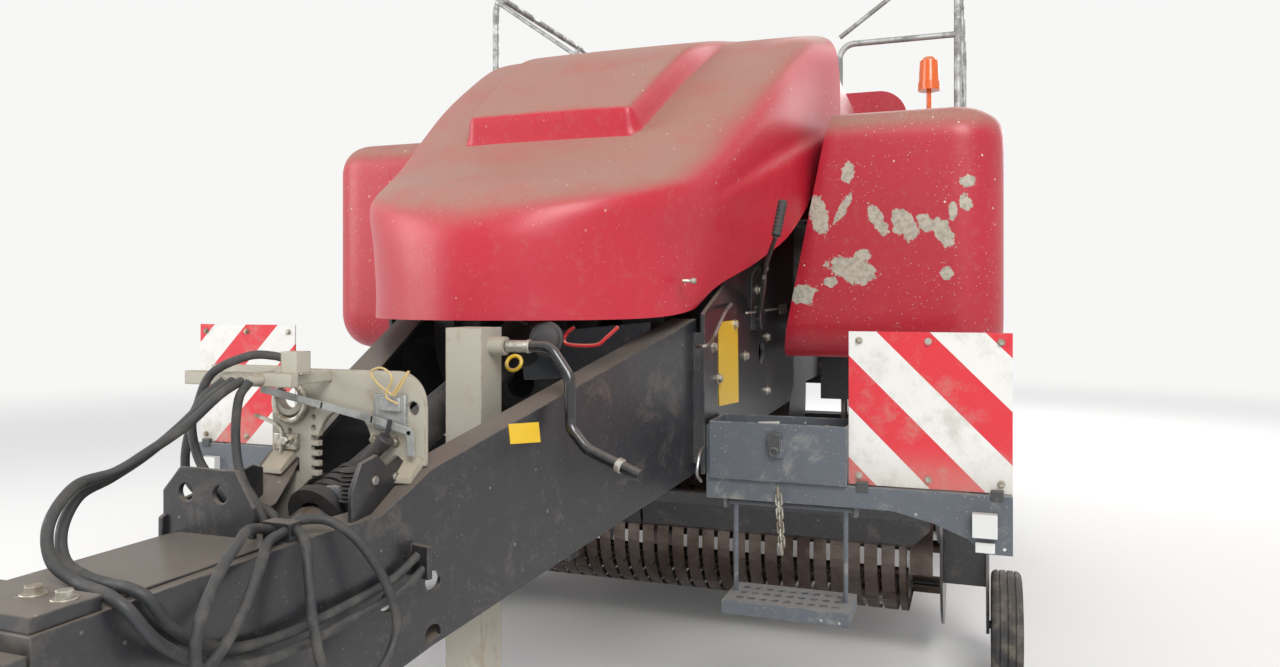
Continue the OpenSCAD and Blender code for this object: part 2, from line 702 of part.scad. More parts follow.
module shaft_guard() {
  n = norm(pto_rear - pto_front);
  color("#1f2022") along(pto_front, pto_rear) {
    difference() {
      union() {
        translate([0, 0, 170]) cylinder(h = n - 290, d = guard_d);
        // Ribbed bellows at the front
        for (i = [0 : 4]) translate([0, 0, 130 + 26 * i]) cylinder(h = 16, d = 132 - 4 * i);
        translate([0, 0, 128]) cylinder(h = 130, d = 108);
        // Disc at the front
        translate([0, 0, 110]) cylinder(h = 20, d = 150);
        // Bell over the rear joint
        translate([0, 0, n - 170]) cylinder(h = 60, d1 = guard_d, d2 = 150);
      }
      translate([0, 0, 100]) cylinder(h = n, d = shaft_d + 24);
    }
  }
  // Chain plate that keeps the guard from turning
  color("#26282b") {
    mirror([1, 0, 0]) translate([beam_front_x, box_rear_y, 0]) rotate([0, 0, -beam_angle])
      translate([-0.3, 390, 1027]) rotate([0, -90, 0]) cylinder(h = 150, d = 14);
  }
}

module flywheel() {
  color("#3a3d42") difference() {
    union() {
      translate([0, 0, fly_z]) rotate([-90, 0, 0]) {
        translate([0, 0, fly_y]) difference() {
          cylinder(h = fly_w, d = fly_d, $fn = 96);
          translate([0, 0, -eps]) cylinder(h = 45, d = fly_d - 150, $fn = 96);
          translate([0, 0, fly_w - 45]) cylinder(h = 46, d = fly_d - 150, $fn = 96);
          for (i = [0 : 5]) rotate([0, 0, 60 * i]) translate([fly_d * 0.26, 0, -eps])
            cylinder(h = fly_w + 1, d = 95);
        }
        translate([0, 0, fly_y - 30]) cylinder(h = fly_w + 60, d = 190);
        // Cup of the shaft's rear joint
        translate([0, 0, fly_y - 62]) cylinder(h = 62, d = 130);
        translate([0, 0, fly_y + fly_w]) cylinder(h = -652 - fly_y - fly_w, d = input_d);
      }
    }
    translate(pto_rear) sphere(d = joint_d + 0.6, $fn = 64);
  }
}

module gearbox() {
  color("#4a4d52") {
    box(-260, 260, -640, -140, 1070, 1640);
    translate([0, -390, 1640]) cylinder(h = 170, d = 380, $fn = 64);
    // Crank arms' shaft
    translate([-330, -330, 1500]) rotate([0, 90, 0]) cylinder(h = 660, d = 150);
    // Input flange
    translate([0, -650, fly_z]) rotate([-90, 0, 0]) cylinder(h = 20, d = 220);
  }
}

// Hood stations, from the front's lower edge over the top to the rear edge. Columns:
// share of the run to the rear and height at the middle, x, share of the run and height
// at the side's lower edge, squareness of the shoulder, and how far the panel faces up
hood_table = [
  [0, 0, 0.03, 0.315, 0.03, 1.75, 0],
  [0.012, 0.07, 0.07, 0.345, 0.055, 1.8, 0.05],
  [0.03, 0.145, 0.11, 0.375, 0.078, 1.9, 0.15],
  [0.062, 0.215, 0.16, 0.41, 0.1, 2, 0.35],
  [0.115, 0.282, 0.23, 0.455, 0.122, 2.1, 0.6],
  [0.2, 0.362, 0.31, 0.51, 0.15, 2.25, 0.75],
  [0.3, 0.452, 0.4, 0.57, 0.187, 2.4, 0.82],
  [0.42, 0.57, 0.5, 0.64, 0.235, 2.5, 0.85],
  [0.54, 0.69, 0.6, 0.71, 0.3, 2.6, 0.88],
  [0.68, 0.815, 0.71, 0.79, 0.39, 2.7, 0.92],
  [0.84, 0.93, 0.84, 0.885, 0.55, 2.7, 0.96],
  [1, 1, 1, 1, 0.62, 2.7, 1]];
hood_steps = 16;

function ease(a, b, x) = let (k = min(1, max(0, (x - a) / (b - a)))) k * k * (3 - 2 * k);

// Point on the hood at a table row, t from -1 (right edge) over 0 (middle) to 1 (left edge)
function hood_point(r, t, inward) =
  let (
    run = hood_rear_y - hood_front_y,
    rise = hood_top_z - hood_low_z,
    cy = hood_front_y + r[0] * run + inward * (1 - r[6]),
    cz = hood_low_z + r[1] * rise - inward * r[6],
    ex = hood_front_x + r[2] * (hood_rear_x - hood_front_x) - inward,
    ey = hood_front_y + r[3] * run,
    ez = hood_low_z + r[4] * rise,
    a = 90 * pow(abs(t), 0.92),
    s = pow(sin(a), 2 / r[5]),
    c = 1 - pow(cos(a), 2 / r[5]),
    y = cy + (ey - cy) * c,
    z = cz + (ez - cz) * c,
    // Ledge along the side, 30 mm out below a rising line
    amount = ease(hood_front_y + 390, hood_front_y + 1200, y),
    line = hood_low_z + 308 + 0.325 * (y - hood_front_y - 440),
    depth = 30 - 14 * ease(hood_front_y + 900, hood_rear_y, y),
    ledge = depth * amount * ease(0.78, 0.95, s) * (1 - ease(line, line + 20 + 60 * amount, z)))
  [sign(t) * (ex * s + ledge), y, z];

// Grid of points over the hood, two rows to each stretch of the table
function hood_grid(inward) = [for (r = through(hood_table, 2))
  [for (k = [-hood_steps : hood_steps]) hood_point(r, k / hood_steps, inward)]];

// The hood's grid raised by the crown's height, which fades out towards the rear
function crown_grid(inward) = [for (r = through(hood_table, 2))
  [for (k = [-hood_steps : hood_steps])
    let (y = hood_front_y + r[0] * (hood_rear_y - hood_front_y), end = crown_y + 950)
    hood_point(r, k / hood_steps, inward - crown_h * (1 - ease(end - 530, end, y)))]];

// Plan outline of the crown, set in by the given amount, as a tall block
module crown_block(inset) {
  rear = crown_y + 940 - 4 * inset;
  translate([0, 0, hood_low_z + 350]) linear_extrude(900) polygon([
    [-crown_x + inset, crown_y + inset], [crown_x - inset, crown_y + inset],
    [crown_x + 0.12 * 940 - inset, rear], [-crown_x - 0.12 * 940 + inset, rear]]);
}

// Closed shell between two grids of points, each a list of rows
module shell_between(outer, inner) {
  rows = len(outer);
  cols = len(outer[0]);
  n = rows * cols;
  points = concat([for (r = outer) for (p = r) p], [for (r = inner) for (p = r) p]);
  grid = [for (i = [0 : rows - 2]) for (j = [0 : cols - 2])
    [i * cols + j, i * cols + j + 1, (i + 1) * cols + j + 1, (i + 1) * cols + j]];
  skin = [for (f = grid) for (h = [[f[0], f[2], f[1]], [f[0], f[3], f[2]]]) h];
  back = [for (f = skin) [f[2] + n, f[1] + n, f[0] + n]];
  rim_a = [for (j = [0 : cols - 2]) [j, j + n, j + 1 + n, j + 1]];
  last = (rows - 1) * cols;
  rim_b = [for (j = [0 : cols - 2]) [last + j, last + j + 1, last + j + 1 + n, last + j + n]];
  rim_c = [for (i = [0 : rows - 2]) [i * cols, (i + 1) * cols, (i + 1) * cols + n, i * cols + n]];
  rim_d = [for (i = [1 : rows - 1])
    [i * cols + cols - 1, (i - 1) * cols + cols - 1, (i - 1) * cols + cols - 1 + n,
      i * cols + cols - 1 + n]];
  rims = [for (f = concat(rim_a, rim_b, rim_c, rim_d))
    for (h = [[f[0], f[2], f[1]], [f[0], f[3], f[2]]]) h];
  polyhedron(points, concat(skin, back, rims), convexity = 6);
}

module hood() {
  color("#c8102e") difference() {
    union() {
      shell_between(hood_grid(0), hood_grid(panel_t));
      intersection() {
        shell_between(crown_grid(0), hood_grid(panel_t / 2));
        crown_block(0);
      }
    }
    intersection() {
      shell_between(crown_grid(panel_t), hood_grid(4 * panel_t));
      crown_block(panel_t);
    }
  }
  // Hinge lugs under the rear edge
  color("#2a2c30") both_sides() side_cut(hood_lug_x, hood_lug_x + hood_lug_w) difference() {
    union() {
      translate([hood_pin_y, hood_pin_z]) circle(d = 32);
      polygon(concat([[hood_pin_y - 190, hood_pin_z - 52], [hood_pin_y, hood_pin_z - 16],
        [hood_pin_y + 6, hood_pin_z]], [for (i = [4 : -1 : 0]) hood_under(10 + i / 4)]));
    }
    translate([hood_pin_y, hood_pin_z]) circle(d = hood_pin + 2 * run_gap);
  }
}

// Place (y, z) within the hood's panel above the middle of a hinge lug, at a row of the table
function hood_under(row) =
  let (
    r = through(hood_table, 4)[round(row * 4)],
    ex = hood_front_x + r[2] * (hood_rear_x - hood_front_x),
    a = asin(pow((hood_lug_x + hood_lug_w / 2) / ex, r[5] / 2)),
    q = hood_point(r, pow(a / 90, 1 / 0.92), 0.6 * panel_t))
  [q[1], q[2]];

module shield_block(grow) {
  r_corner = 170 - grow;
  intersection() {
    // Plan outline, rounded at the outer front corner
    translate([0, 0, shield_low_z - 50]) linear_extrude(shield_top_z - shield_low_z + 100)
      union() {
        translate([shield_in_low_x - 60, shield_y + grow + 30])
          square([cover_x - r_corner - grow - shield_in_low_x + 60, 1100]);
        translate([shield_in_low_x - 60, shield_y + grow + r_corner + 10])
          square([cover_x - grow - shield_in_low_x + 60, 1100]);
        translate([cover_x - grow - r_corner, shield_y + grow + r_corner + 8]) circle(r = r_corner);
        translate([shield_in_low_x - 60, shield_y + grow + 8])
          square([cover_x - grow - r_corner - shield_in_low_x + 60, 60]);
      }
    // Side outline, rolled under at the bottom and rounded over at the top
    side_cut(shield_in_low_x - 80, cover_x + 10) union() {
      translate([shield_y + grow + 120, shield_top_z - grow - 120]) circle(r = 120);
      translate([shield_y + grow + 120, shield_top_z - grow - 240]) square([1200, 240]);
      translate([shield_y + grow, shield_low_z + 150]) square([1200, shield_top_z - shield_low_z - 270]);
      translate([shield_y + grow + 150, shield_low_z + grow + 150]) circle(r = 150);
      translate([shield_y + grow + 150, shield_low_z + grow]) square([1200, 300]);
    }
  }
}

module front_shield() {
  slope = (shield_in_top_x - shield_in_low_x) / (shield_top_z - shield_low_z);
  difference() {
    shield_block(0);
    shield_block(panel_t);
    // Cut at the rear edge
    box(0, 2 * cover_x, shield_rear_y, shield_rear_y + 2000, 0, 3000);
    // Slanted inner edge beside the hood
    front_cut(shield_y - 100, shield_rear_y + 100) polygon([
      [0, shield_low_z - 100], [shield_in_low_x - 100 * slope, shield_low_z - 100],
      [shield_in_top_x + 100 * slope, shield_top_z + 100], [0, shield_top_z + 100]]);
  }
  // Hinge knuckles at the outer rear edge
  for (z = [shield_low_z + 170, shield_top_z - 230]) difference() {
    translate([shield_pin_x, shield_pin_y, z]) cylinder(h = 60, d = 30);
    translate([shield_pin_x, shield_pin_y, z - 1]) cylinder(h = 62, d = shield_pin + 2 * run_gap);
  }
}

module front_shield_left() {
  color("#c8102e") front_shield();
}

module front_shield_right() {
  color("#c8102e") mirror([1, 0, 0]) front_shield();
}

module cross_beam_side() {
  x0 = plate_span / 2;
  low = cross_top_z - cross_h;
  box(x0, cover_x, cross_y, cross_y + cross_depth, low, cross_top_z);
  // Gusset down to the lamp bracket
  front_cut(cross_y, cross_y + 8) difference() {
    polygon([[cover_x - 330, low + 5], [cover_x, low + 5], [cover_x, low - 95], [cover_x - 70, low - 95],
      [cover_x - 110, low - 60], [cover_x - 200, low - 25]]);
    translate([cover_x - 20, low - 80]) circle(d = 10);
  }
  // Hanger on the side plate
  box(x0 + 0.3, x0 + 12, cross_y, cross_y + 60, low, cross_top_z + 150);
  // Board carrier
  box(cover_x - board_w + 60, cover_x - board_w + 100, cross_y + 15, cross_y + 35, cross_top_z,
    cross_top_z + 340);
  box(cover_x - 100, cover_x - 60, cross_y + 15, cross_y + 35, cross_top_z, cross_top_z + 340);
}

module cross_beams() {
  color("#5d646d") {
    both_sides() cross_beam_side();
    // Ears that carry the step's hinge rod
    for (x = [step_x - step_w / 2 - 34, step_x + step_w / 2 + 24]) difference() {
      box(x, x + 10, step_pin_y - 16, step_pin_y + 16, step_pin_z - 16, cross_top_z - cross_h);
      translate([x - 1, step_pin_y, step_pin_z]) rotate([0, 90, 0])
        cylinder(h = 12, d = step_pin + 2 * run_gap);
    }
  }
}

module warning_boards() {
  color("#f2f0ea") both_sides()
    box(cover_x - board_w, cover_x, cross_y + 10, cross_y + 15, cross_top_z + 5, cross_top_z + 5 + board_w);
}

module marker_lamps() {
  color("#f0efe8") both_sides() {
    box(cover_x - 100, cover_x - 38, cross_y - 26, cross_y, cross_top_z - 108, cross_top_z - 46);
    box(cover_x - 92, cover_x - 44, cross_y - 10, cross_y, cross_top_z - 150, cross_top_z - 124);
  }
}

module toolbox() {
  x0 = plate_span / 2 + 12;
  color("#6a7078") {
    difference() {
      box(x0, x0 + toolbox_w, cross_y - 12, cross_y + 170, cross_top_z, cross_top_z + toolbox_h);
      box(x0 + 3, x0 + toolbox_w - 3, cross_y - 9, cross_y + 167, cross_top_z + 3,
        cross_top_z + toolbox_h + eps);
    }
    // Latch
    box(x0 + 180, x0 + 215, cross_y - 22, cross_y - 12, cross_top_z + 70, cross_top_z + 120);
  }
}

module folding_step() {
  half = step_w / 2;
  color("#7a8087") {
    for (x = [step_x - half, step_x + half])
      translate([x, step_pin_y, step_z - 20]) cylinder(h = step_pin_z - step_z + 20, d = 14);
    translate([step_x - half - 36, step_pin_y, step_pin_z]) rotate([0, 90, 0])
      cylinder(h = step_w + 72, d = step_pin);
    // Tread with round grip holes
    difference() {
      box(step_x - half - 20, step_x + half + 20, step_pin_y - 90, step_pin_y + 90, step_z - 38, step_z);
      box(step_x - half - 17, step_x + half + 17, step_pin_y - 87, step_pin_y + 87, step_z - 39, step_z - 3);
      for (i = [-4 : 4]) for (j = [-1 : 1])
        translate([step_x + i * 34, step_pin_y + j * 48, step_z - 20]) cylinder(h = 40, d = 22, $fn = 24);
    }
  }
}

module brake_lever() {
  base = [572, -780, 1440];
  tip = [646, -755, 1830];
  color("#1e1f21") {
    rod(base, tip, 12);
    translate(base) translate([-18, 0, 0]) rotate([0, 90, 0]) cylinder(h = 36, d = 90);
    along(base + 0.68 * (tip - base), tip) for (i = [0 : 7])
      translate([0, 0, 15 * i]) cylinder(h = 13, d = 30 - (i % 2) * 4);
    along(base + 0.66 * (tip - base), tip) cylinder(h = 126, d = 24);
    // Quadrant plate on the side plate
    side_cut(plate_span / 2, plate_span / 2 + 8) polygon([
      [-860, 1340], [-740, 1340], [-700, 1430], [-700, 1560], [-760, 1600], [-830, 1560], [-870, 1440]]);
    box(plate_span / 2 + 8 - eps, 556, -800, -760, 1420, 1460);
  }
}

module pickup_frame() {
  x0 = pickup_x;
  x1 = x0 + end_shield_w;
  arm_z = gauge_d / 2;
  color("#4b535e") {
    // End shields with a sickle outline, a slot, and bores for pivot and reel
    both_sides() difference() {
      side_cut(x0 + 20, x0 + 30) difference() {
        union() {
          translate([drum_y, drum_z]) circle(r = 296, $fn = 96);
          polygon([[drum_y - 60, drum_z + 290], [pickup_pivot_y, pickup_pivot_z + 70],
            [pickup_pivot_y + 66, pickup_pivot_z - 20], [drum_y + 150, drum_z - 255]]);
          translate([pickup_pivot_y, pickup_pivot_z]) circle(r = 70);
        }
        translate([drum_y - 150, drum_z + 60]) rotate(-60) square([120, 24]);
      }
      translate([x0, pickup_pivot_y, pickup_pivot_z]) rotate([0, 90, 0])
        cylinder(h = 60, d = pickup_pin + 2 * run_gap);
      translate([x0, drum_y, drum_z]) rotate([0, 90, 0]) cylinder(h = 60, d = reel_pin + 2 * run_gap);
    }
    // Arms that carry the windguard
    both_sides() side_cut(x0 + 8, x0 + 20) difference() {
      union() {
        translate([guard_y, guard_z]) circle(d = 70);
        polygon([[guard_y, guard_z + 35], [guard_y, guard_z - 35], [drum_y - 180, drum_z + 60],
          [drum_y - 60, drum_z + 240]]);
      }
      translate([guard_y, guard_z]) circle(d = guard_pin + 2 * run_gap);
    }
    // Outer box of the end drive
    both_sides() box(x0 + 30, x1, drum_y - 120, drum_y + 130, drum_z - 110, drum_z + 110);
    // Rear cross tube
    translate([-x0 - 20, 230, 195]) rotate([0, 90, 0]) cylinder(h = 2 * x0 + 40, d = 60);
    // Gauge wheel arms
    both_sides() {
      side_cut(x1, x1 + 12) polygon([[drum_y - 40, drum_z + 90], [drum_y - 110, drum_z + 100],
        [gauge_y - 35, arm_z + 60], [gauge_y - 35, arm_z - 25], [gauge_y + 35, arm_z - 25],
        [gauge_y + 60, arm_z + 40], [drum_y - 40, drum_z - 90]]);
      translate([x1, gauge_y, arm_z]) rotate([0, 90, 0]) cylinder(h = gauge_w, d = gauge_pin);
    }
    // Pivot arms from the cross tube up to the pivot
    both_sides() side_cut(chamber_out_x + 30, chamber_out_x + 48) difference() {
      union() {
        translate([230, 195]) circle(r = 45);
        polygon([[190, 215], [pickup_pivot_y - 60, pickup_pivot_z], [pickup_pivot_y + 60, pickup_pivot_z],
          [270, 175]]);
        translate([pickup_pivot_y, pickup_pivot_z]) circle(r = 60);
      }
      translate([pickup_pivot_y, pickup_pivot_z]) circle(d = pickup_pin + 2 * run_gap);
    }
  }
}

// Stripper band outline: round in front, with straight legs behind that stay clear of the tines
module band_outline() {
  t = 4;
  lean = 40;
  steps = 28;
  angles = [for (i = [0 : steps]) 270 - i * (180 + lean) / steps];
  back = [for (i = [steps : -1 : 0]) angles[i]];
  dir = [cos(lean), -sin(lean)];
  low = [[248, t - band_r], [248, -band_r]];
  high = [for (r = [band_r, band_r - t]) r * [sin(lean), cos(lean)] + leg_len * dir];
  polygon(concat([low[0], low[1]],
    [for (a = angles) band_r * [cos(a), sin(a)]], high,
    [for (a = back) (band_r - t) * [cos(a), sin(a)]]));
}

module stripper_bands() {
  w = tine_pitch - band_gap;
  lean = 40;
  rail_x = pickup_x + 19.7;
  flare_x = pickup_half + tine_pitch / 2 + band_gap;
  color("#6a4a3a") {
    for (i = [1 : tine_n - 1])
      side_cut((i - tine_n / 2) * tine_pitch - w / 2, (i - tine_n / 2) * tine_pitch + w / 2)
        translate([drum_y, drum_z]) band_outline();
    // Flared end bands
    both_sides() {
      side_cut(pickup_half + band_gap / 2, pickup_half + tine_pitch / 2) translate([drum_y, drum_z])
        band_outline();
      translate([0, drum_y, drum_z]) rotate([0, 90, 0]) rotate([0, 0, 90])
        rotate_extrude(angle = 190, $fn = 96) polygon([
          [band_r - 4, flare_x], [band_r, flare_x], [band_r + 16, pickup_x - 6],
          [band_r + 12, pickup_x - 6]]);
    }
    // Rails that join the ends of the legs
    side_cut(-rail_x, rail_x) translate([drum_y, drum_z]) {
      rotate(-lean) translate([leg_len - 1, band_r - 20]) square([24, 24]);
      translate([218, -band_r + 4 - eps]) square([25, 24]);
    }
    // Struts of the flared bands
    both_sides() translate([pickup_x - 40, drum_y - 30, drum_z + band_r - 4]) cube([59.7, 26, 20]);
  }
}

module tine_reel() {
  bar_r = 190;
  end_x = pickup_x + 29;
  color("#5b5f64") translate([0, drum_y, drum_z]) {
    translate([-end_x, 0, 0]) rotate([0, 90, 0]) cylinder(h = 2 * end_x, d = reel_pin);
    for (a = [0 : 3]) rotate([90 * a + 20, 0, 0]) {
      translate([-pickup_half - 40, 0, -bar_r]) rotate([0, 90, 0])
        cylinder(h = 2 * pickup_half + 80, d = 34);
      for (i = [0 : tine_n - 1])
        translate([(i - (tine_n - 1) / 2) * tine_pitch, 0, -tine_r])
          cylinder(h = tine_r - bar_r, d = tine_d, $fn = 16);
    }
    for (x = [-pickup_half - 34, -33 - 8, pickup_half + 18])
      translate([x, 0, 0]) rotate([0, 90, 0]) cylinder(h = 16, r = bar_r + 22);
  }
}

module windguard() {
  x1 = pickup_x - 10;
  x2 = pickup_x + 20;
  t = 4;
  color("#3c4046") {
    // Two bent deflector plates with cut corners
    both_sides() difference() {
      side_cut(6, x1) translate([guard_y - 20, guard_z]) polygon([[-2, 18], [-2, -30], [24, -125], [96, -152],
        [96 + t / 2, -152 + t], [24 + t, -125 + t], [-2 + t, -30], [-2 + t, 18]]);
      front_cut(guard_y - 100, guard_y + 200) polygon([[x1 + 5, guard_z - 200], [x1 + 5, guard_z - 60],
        [x1 - 130, guard_z - 200]]);
    }
    // Hinge tube
    translate([-x2, guard_y, guard_z]) rotate([0, 90, 0]) cylinder(h = 2 * x2, d = guard_pin);
  }
}

module gauge_wheel(side) {
  x0 = pickup_x + end_shield_w + 18;
  translate([side > 0 ? x0 : -x0 - gauge_w, gauge_y, gauge_d / 2]) {
    color("#222325") turned_x() difference() {
      union() {
        translate([gauge_d / 2 - 22, 22]) circle(r = 22);
        translate([gauge_d / 2 - 22, gauge_w - 22]) circle(r = 22);
        translate([gauge_d / 2 - 60, 22]) square([60, gauge_w - 44]);
        translate([gauge_d / 2 - 75, 8]) square([55, gauge_w - 16]);
      }
      for (i = [1 : 3]) translate([gauge_d / 2 - 6, gauge_w / 4 * i - 3]) square([10, 6]);
    }
    color("silver") turned_x() {
      translate([gauge_pin / 2 + run_gap, 30]) square([28, gauge_w - 60]);
      translate([40, gauge_w / 2 - 6]) square([gauge_d / 2 - 115 + 2, 12]);
      translate([gauge_d / 2 - 84, 14]) square([10, gauge_w - 28]);
    }
  }
}

module gauge_wheel_left() {
  gauge_wheel(1);
}

module gauge_wheel_right() {
  gauge_wheel(-1);
}

module duct_ring(r0, r1) {
  intersection() {
    difference() {
      circle(r = r1, $fn = 128);
      circle(r = r0, $fn = 128);
    }
    translate([0, -2 * r1]) square([2 * r1, 2 * r1]);
  }
}

module feed_duct() {
  in_r = duct_r - duct_h;
  seat_z = duct_z - wall_t;
  color("#3f444b") {
    side_cut(-bale_w / 2, bale_w / 2) translate([duct_y, seat_z]) {
      duct_ring(duct_r, duct_r + 8);
      duct_ring(in_r - 8, in_r);
    }
    both_sides()
      side_cut(bale_w / 2 - eps, bale_w / 2 + 8) translate([duct_y, seat_z]) duct_ring(in_r - 8, duct_r + 8);
    // Pivot pins that carry the pickup
    both_sides()
      translate([bale_w / 2 + 7, pickup_pivot_y, pickup_pivot_z]) rotate([0, 90, 0])
        cylinder(h = pickup_x + 40 - bale_w / 2 - 7, d = pickup_pin);
  }
}

module needle_slots(z0, z1, y0, y1) {
  for (i = [0 : needle_n - 1])
    box((i - (needle_n - 1) / 2) * needle_pitch - 16, (i - (needle_n - 1) / 2) * needle_pitch + 16, y0, y1,
      z0, z1);
}

module bale_chamber() {
  y1 = chamber_rear_y;
  color("#3a3f47") {
    difference() {
      box(-chamber_out_x, chamber_out_x, chamber_front_y, y1, floor_z - wall_t, roof_z + wall_t);
      box(-bale_w / 2, bale_w / 2, chamber_front_y - eps, y1 + eps, floor_z, roof_z);
      // Feed opening in the floor
      box(-bale_w / 2, bale_w / 2, duct_y + duct_r - duct_h, duct_out_y, floor_z - 2 * wall_t, floor_z + eps);
      needle_slots(floor_z - 2 * wall_t, floor_z + wall_t, duct_out_y + 30, 1190);
      needle_slots(roof_z - wall_t, roof_z + 2 * wall_t, 1240, 1480);
      // Windows in the side walls behind the needles
      both_sides() for (i = [0 : 2])
        box(bale_w / 2 - 20, chamber_out_x + 20, 2080 + 280 * i, 2080 + 280 * i + 190, 1200, 1700);
    }
    // Hoops round the chamber
    for (y = [1560, 2020, 2480, 2880, y1 - 60]) difference() {
      box(-chamber_out_x - 50, chamber_out_x + 50, y, y + 40, floor_z - wall_t - 60, roof_z + wall_t + 60);
      box(-chamber_out_x, chamber_out_x, y - eps, y + 40 + eps, floor_z - wall_t, roof_z + wall_t);
    }
    // Long rails along the upper edges, which carry the side boxes
    both_sides() box(chamber_out_x - eps, chamber_out_x + 60, chamber_front_y, y1, roof_z - 70, roof_z - 10);
    // Pivot pins of the needle yoke
    both_sides() {
      translate([chamber_out_x - eps, yoke_y, yoke_z]) rotate([0, 90, 0]) cylinder(h = 95, d = yoke_pin);
      // Lugs and pins of the chute
      side_cut(chamber_out_x - eps, chamber_out_x + 14) union() {
        polygon([[y1 - 60, floor_z + 60], [y1 - 60, floor_z - 40], [chute_y, chute_z - 30],
          [chute_y, chute_z + 30], [y1, floor_z + 60]]);
        translate([chute_y, chute_z]) circle(d = 60);
      }
      translate([chamber_out_x + 13, chute_y, chute_z]) rotate([0, 90, 0])
        cylinder(h = chute_x + 14 - chamber_out_x - 13, d = chute_pin);
    }
  }
}

module plunger() {
  w = bale_w / 2 - plunger_gap;
  y1 = 430;
  // Slide shoes on the chamber's floor
  color("#8f9296") both_sides()
    box(w - 60, w - 10, y1 - plunger_len, y1 - plunger_len + 360, floor_z + 0.3, floor_z + plunger_gap + eps);
  color("#565b63") difference() {
    box(-w, w, y1 - plunger_len, y1, floor_z + plunger_gap, roof_z - plunger_gap);
    // Needle slots in the face
    needle_slots(floor_z, roof_z + 1, y1 - 60, y1 + 1);
    // Hollow front
    box(-w + 60, w - 60, y1 - plunger_len - 1, y1 - 140, floor_z + 90, roof_z - 90);
  }
}

module needle_yoke() {
  arm_x = yoke_arm_x;
  tip_a = 71;
  root_a = -4;
  color("#8a6a2a") {
    for (i = [0 : needle_n - 1])
      side_cut((i - (needle_n - 1) / 2) * needle_pitch - 9, (i - (needle_n - 1) / 2) * needle_pitch + 9)
        translate([yoke_y, yoke_z]) intersection() {
          difference() {
            circle(r = needle_r + 14, $fn = 160);
            circle(r = needle_r - 14, $fn = 160);
          }
          polygon([[0, 0], 2000 * [-sin(root_a), -cos(root_a)], 2000 * [-sin(30), -cos(30)],
            2000 * [-sin(tip_a), -cos(tip_a)]]);
        }
  }
  color("#4a4036") {
    // Cross tube that carries the needles
    translate([0, yoke_y, yoke_z]) rotate([-root_a, 0, 0])
      box(-arm_x, arm_x, -45, 45, -needle_r - 40, -needle_r + 40);
    both_sides() translate([0, yoke_y, yoke_z]) rotate([-root_a, 0, 0]) difference() {
      union() {
        box(arm_x, arm_x + 16, -45, 45, -needle_r - 40, 0);
        translate([arm_x, 0, 0]) rotate([0, 90, 0]) cylinder(h = 16, d = 150);
      }
      translate([arm_x - 1, 0, 0]) rotate([0, 90, 0])
        cylinder(h = 20, d = yoke_pin + 2 * run_gap);
    }
  }
}

module knotters() {
  color("#5e6167") {
    box(-bale_w / 2 - 80, bale_w / 2 + 80, 1500, 1540, roof_z + wall_t, roof_z + wall_t + 420);
    rod([-bale_w / 2 - 100, 1440, roof_z + 300], [bale_w / 2 + 100, 1440, roof_z + 300], 60);
    for (i = [0 : needle_n - 1]) {
      x = (i - (needle_n - 1) / 2) * needle_pitch;
      translate([x - 30, 1440, roof_z + 300]) rotate([0, 90, 0]) cylinder(h = 22, d = 260);
      box(x - 34, x + 10, 1420, 1505, roof_z + 40, roof_z + 330);
    }
  }
}

module knotter_cover() {
  w = knot_x;
  r = 150;
  top = 2575;
  pin_y = knot_rear_y + 22;
  color("#c8102e") difference() {
    front_cut(knot_front_y, knot_rear_y) knotter_arch(0, top);
    front_cut(knot_front_y + 8, knot_rear_y - 8) knotter_arch(8, top);
  }
  // Hinge knuckles at the rear edge
  color("#2a2c30") both_sides() difference() {
    union() {
      box(700, 760, knot_rear_y - 2, pin_y, knot_low_z + 8, knot_low_z + 40);
      translate([700, pin_y, knot_low_z + 24]) rotate([0, 90, 0]) cylinder(h = 60, d = 32);
    }
    translate([699, pin_y, knot_low_z + 24]) rotate([0, 90, 0])
      cylinder(h = 62, d = knot_pin + 2 * run_gap);
  }
}

// Cross section of the knotter cover, set in by the given amount
module knotter_arch(inset, top) {
  r = 150 - inset;
  w = knot_x - inset;
  z = top - inset;
  translate([-w, knot_low_z - (inset > 0 ? 10 : 0)]) square([2 * w, z - r - knot_low_z + (inset > 0 ? 10 : 0)]);
  translate([-w + r, z - r - 1]) square([2 * (w - r), r + 1]);
  for (x = [-w + r, w - r]) translate([x, z - r]) circle(r = r, $fn = 64);
}

// Height of the top cover's slanted roof
function cover_top(y) = 2440 - 80 * (y - hood_rear_y - 28) / (772 - hood_rear_y);

module top_cover() {
  y0 = hood_rear_y + 28;
  low = 1930;
  step = twine_top_z + 8;
  y1 = knot_front_y - 20;
  color("#a8323c") difference() {
    side_cut(-712, 712) polygon([
      [y0, low], [240, low], [240, step], [y1, step], [y1, 2190], [800, 2360], [y0, 2440]]);
    side_cut(-705, 705) polygon([
      [y0 + 7, low - 10], [233, low - 10], [233, step - 1], [240, step - 1], [240, step - 10],
      [y1 - 7, step - 10], [y1 - 7, 2186], [796, 2353], [y0 + 7, 2433]]);
  }
  // Hinge brackets and pins of the hood
  color("#2a2c30") both_sides() {
    translate([hood_lug_x - 20, hood_pin_y, hood_pin_z]) rotate([0, 90, 0])
      cylinder(h = hood_lug_w + 40, d = hood_pin);
    for (x = [hood_lug_x - 20, hood_lug_x + hood_lug_w + 6])
      side_cut(x, x + 14) {
        translate([hood_pin_y, hood_pin_z]) circle(d = 30);
        polygon([[hood_pin_y - 13, hood_pin_z], [hood_pin_y + 20, hood_pin_z - 90],
          [y0 + 40, 2425], [y0 + 60, 2437], [hood_pin_y + 10, hood_pin_z + 10]]);
      }
  }
}

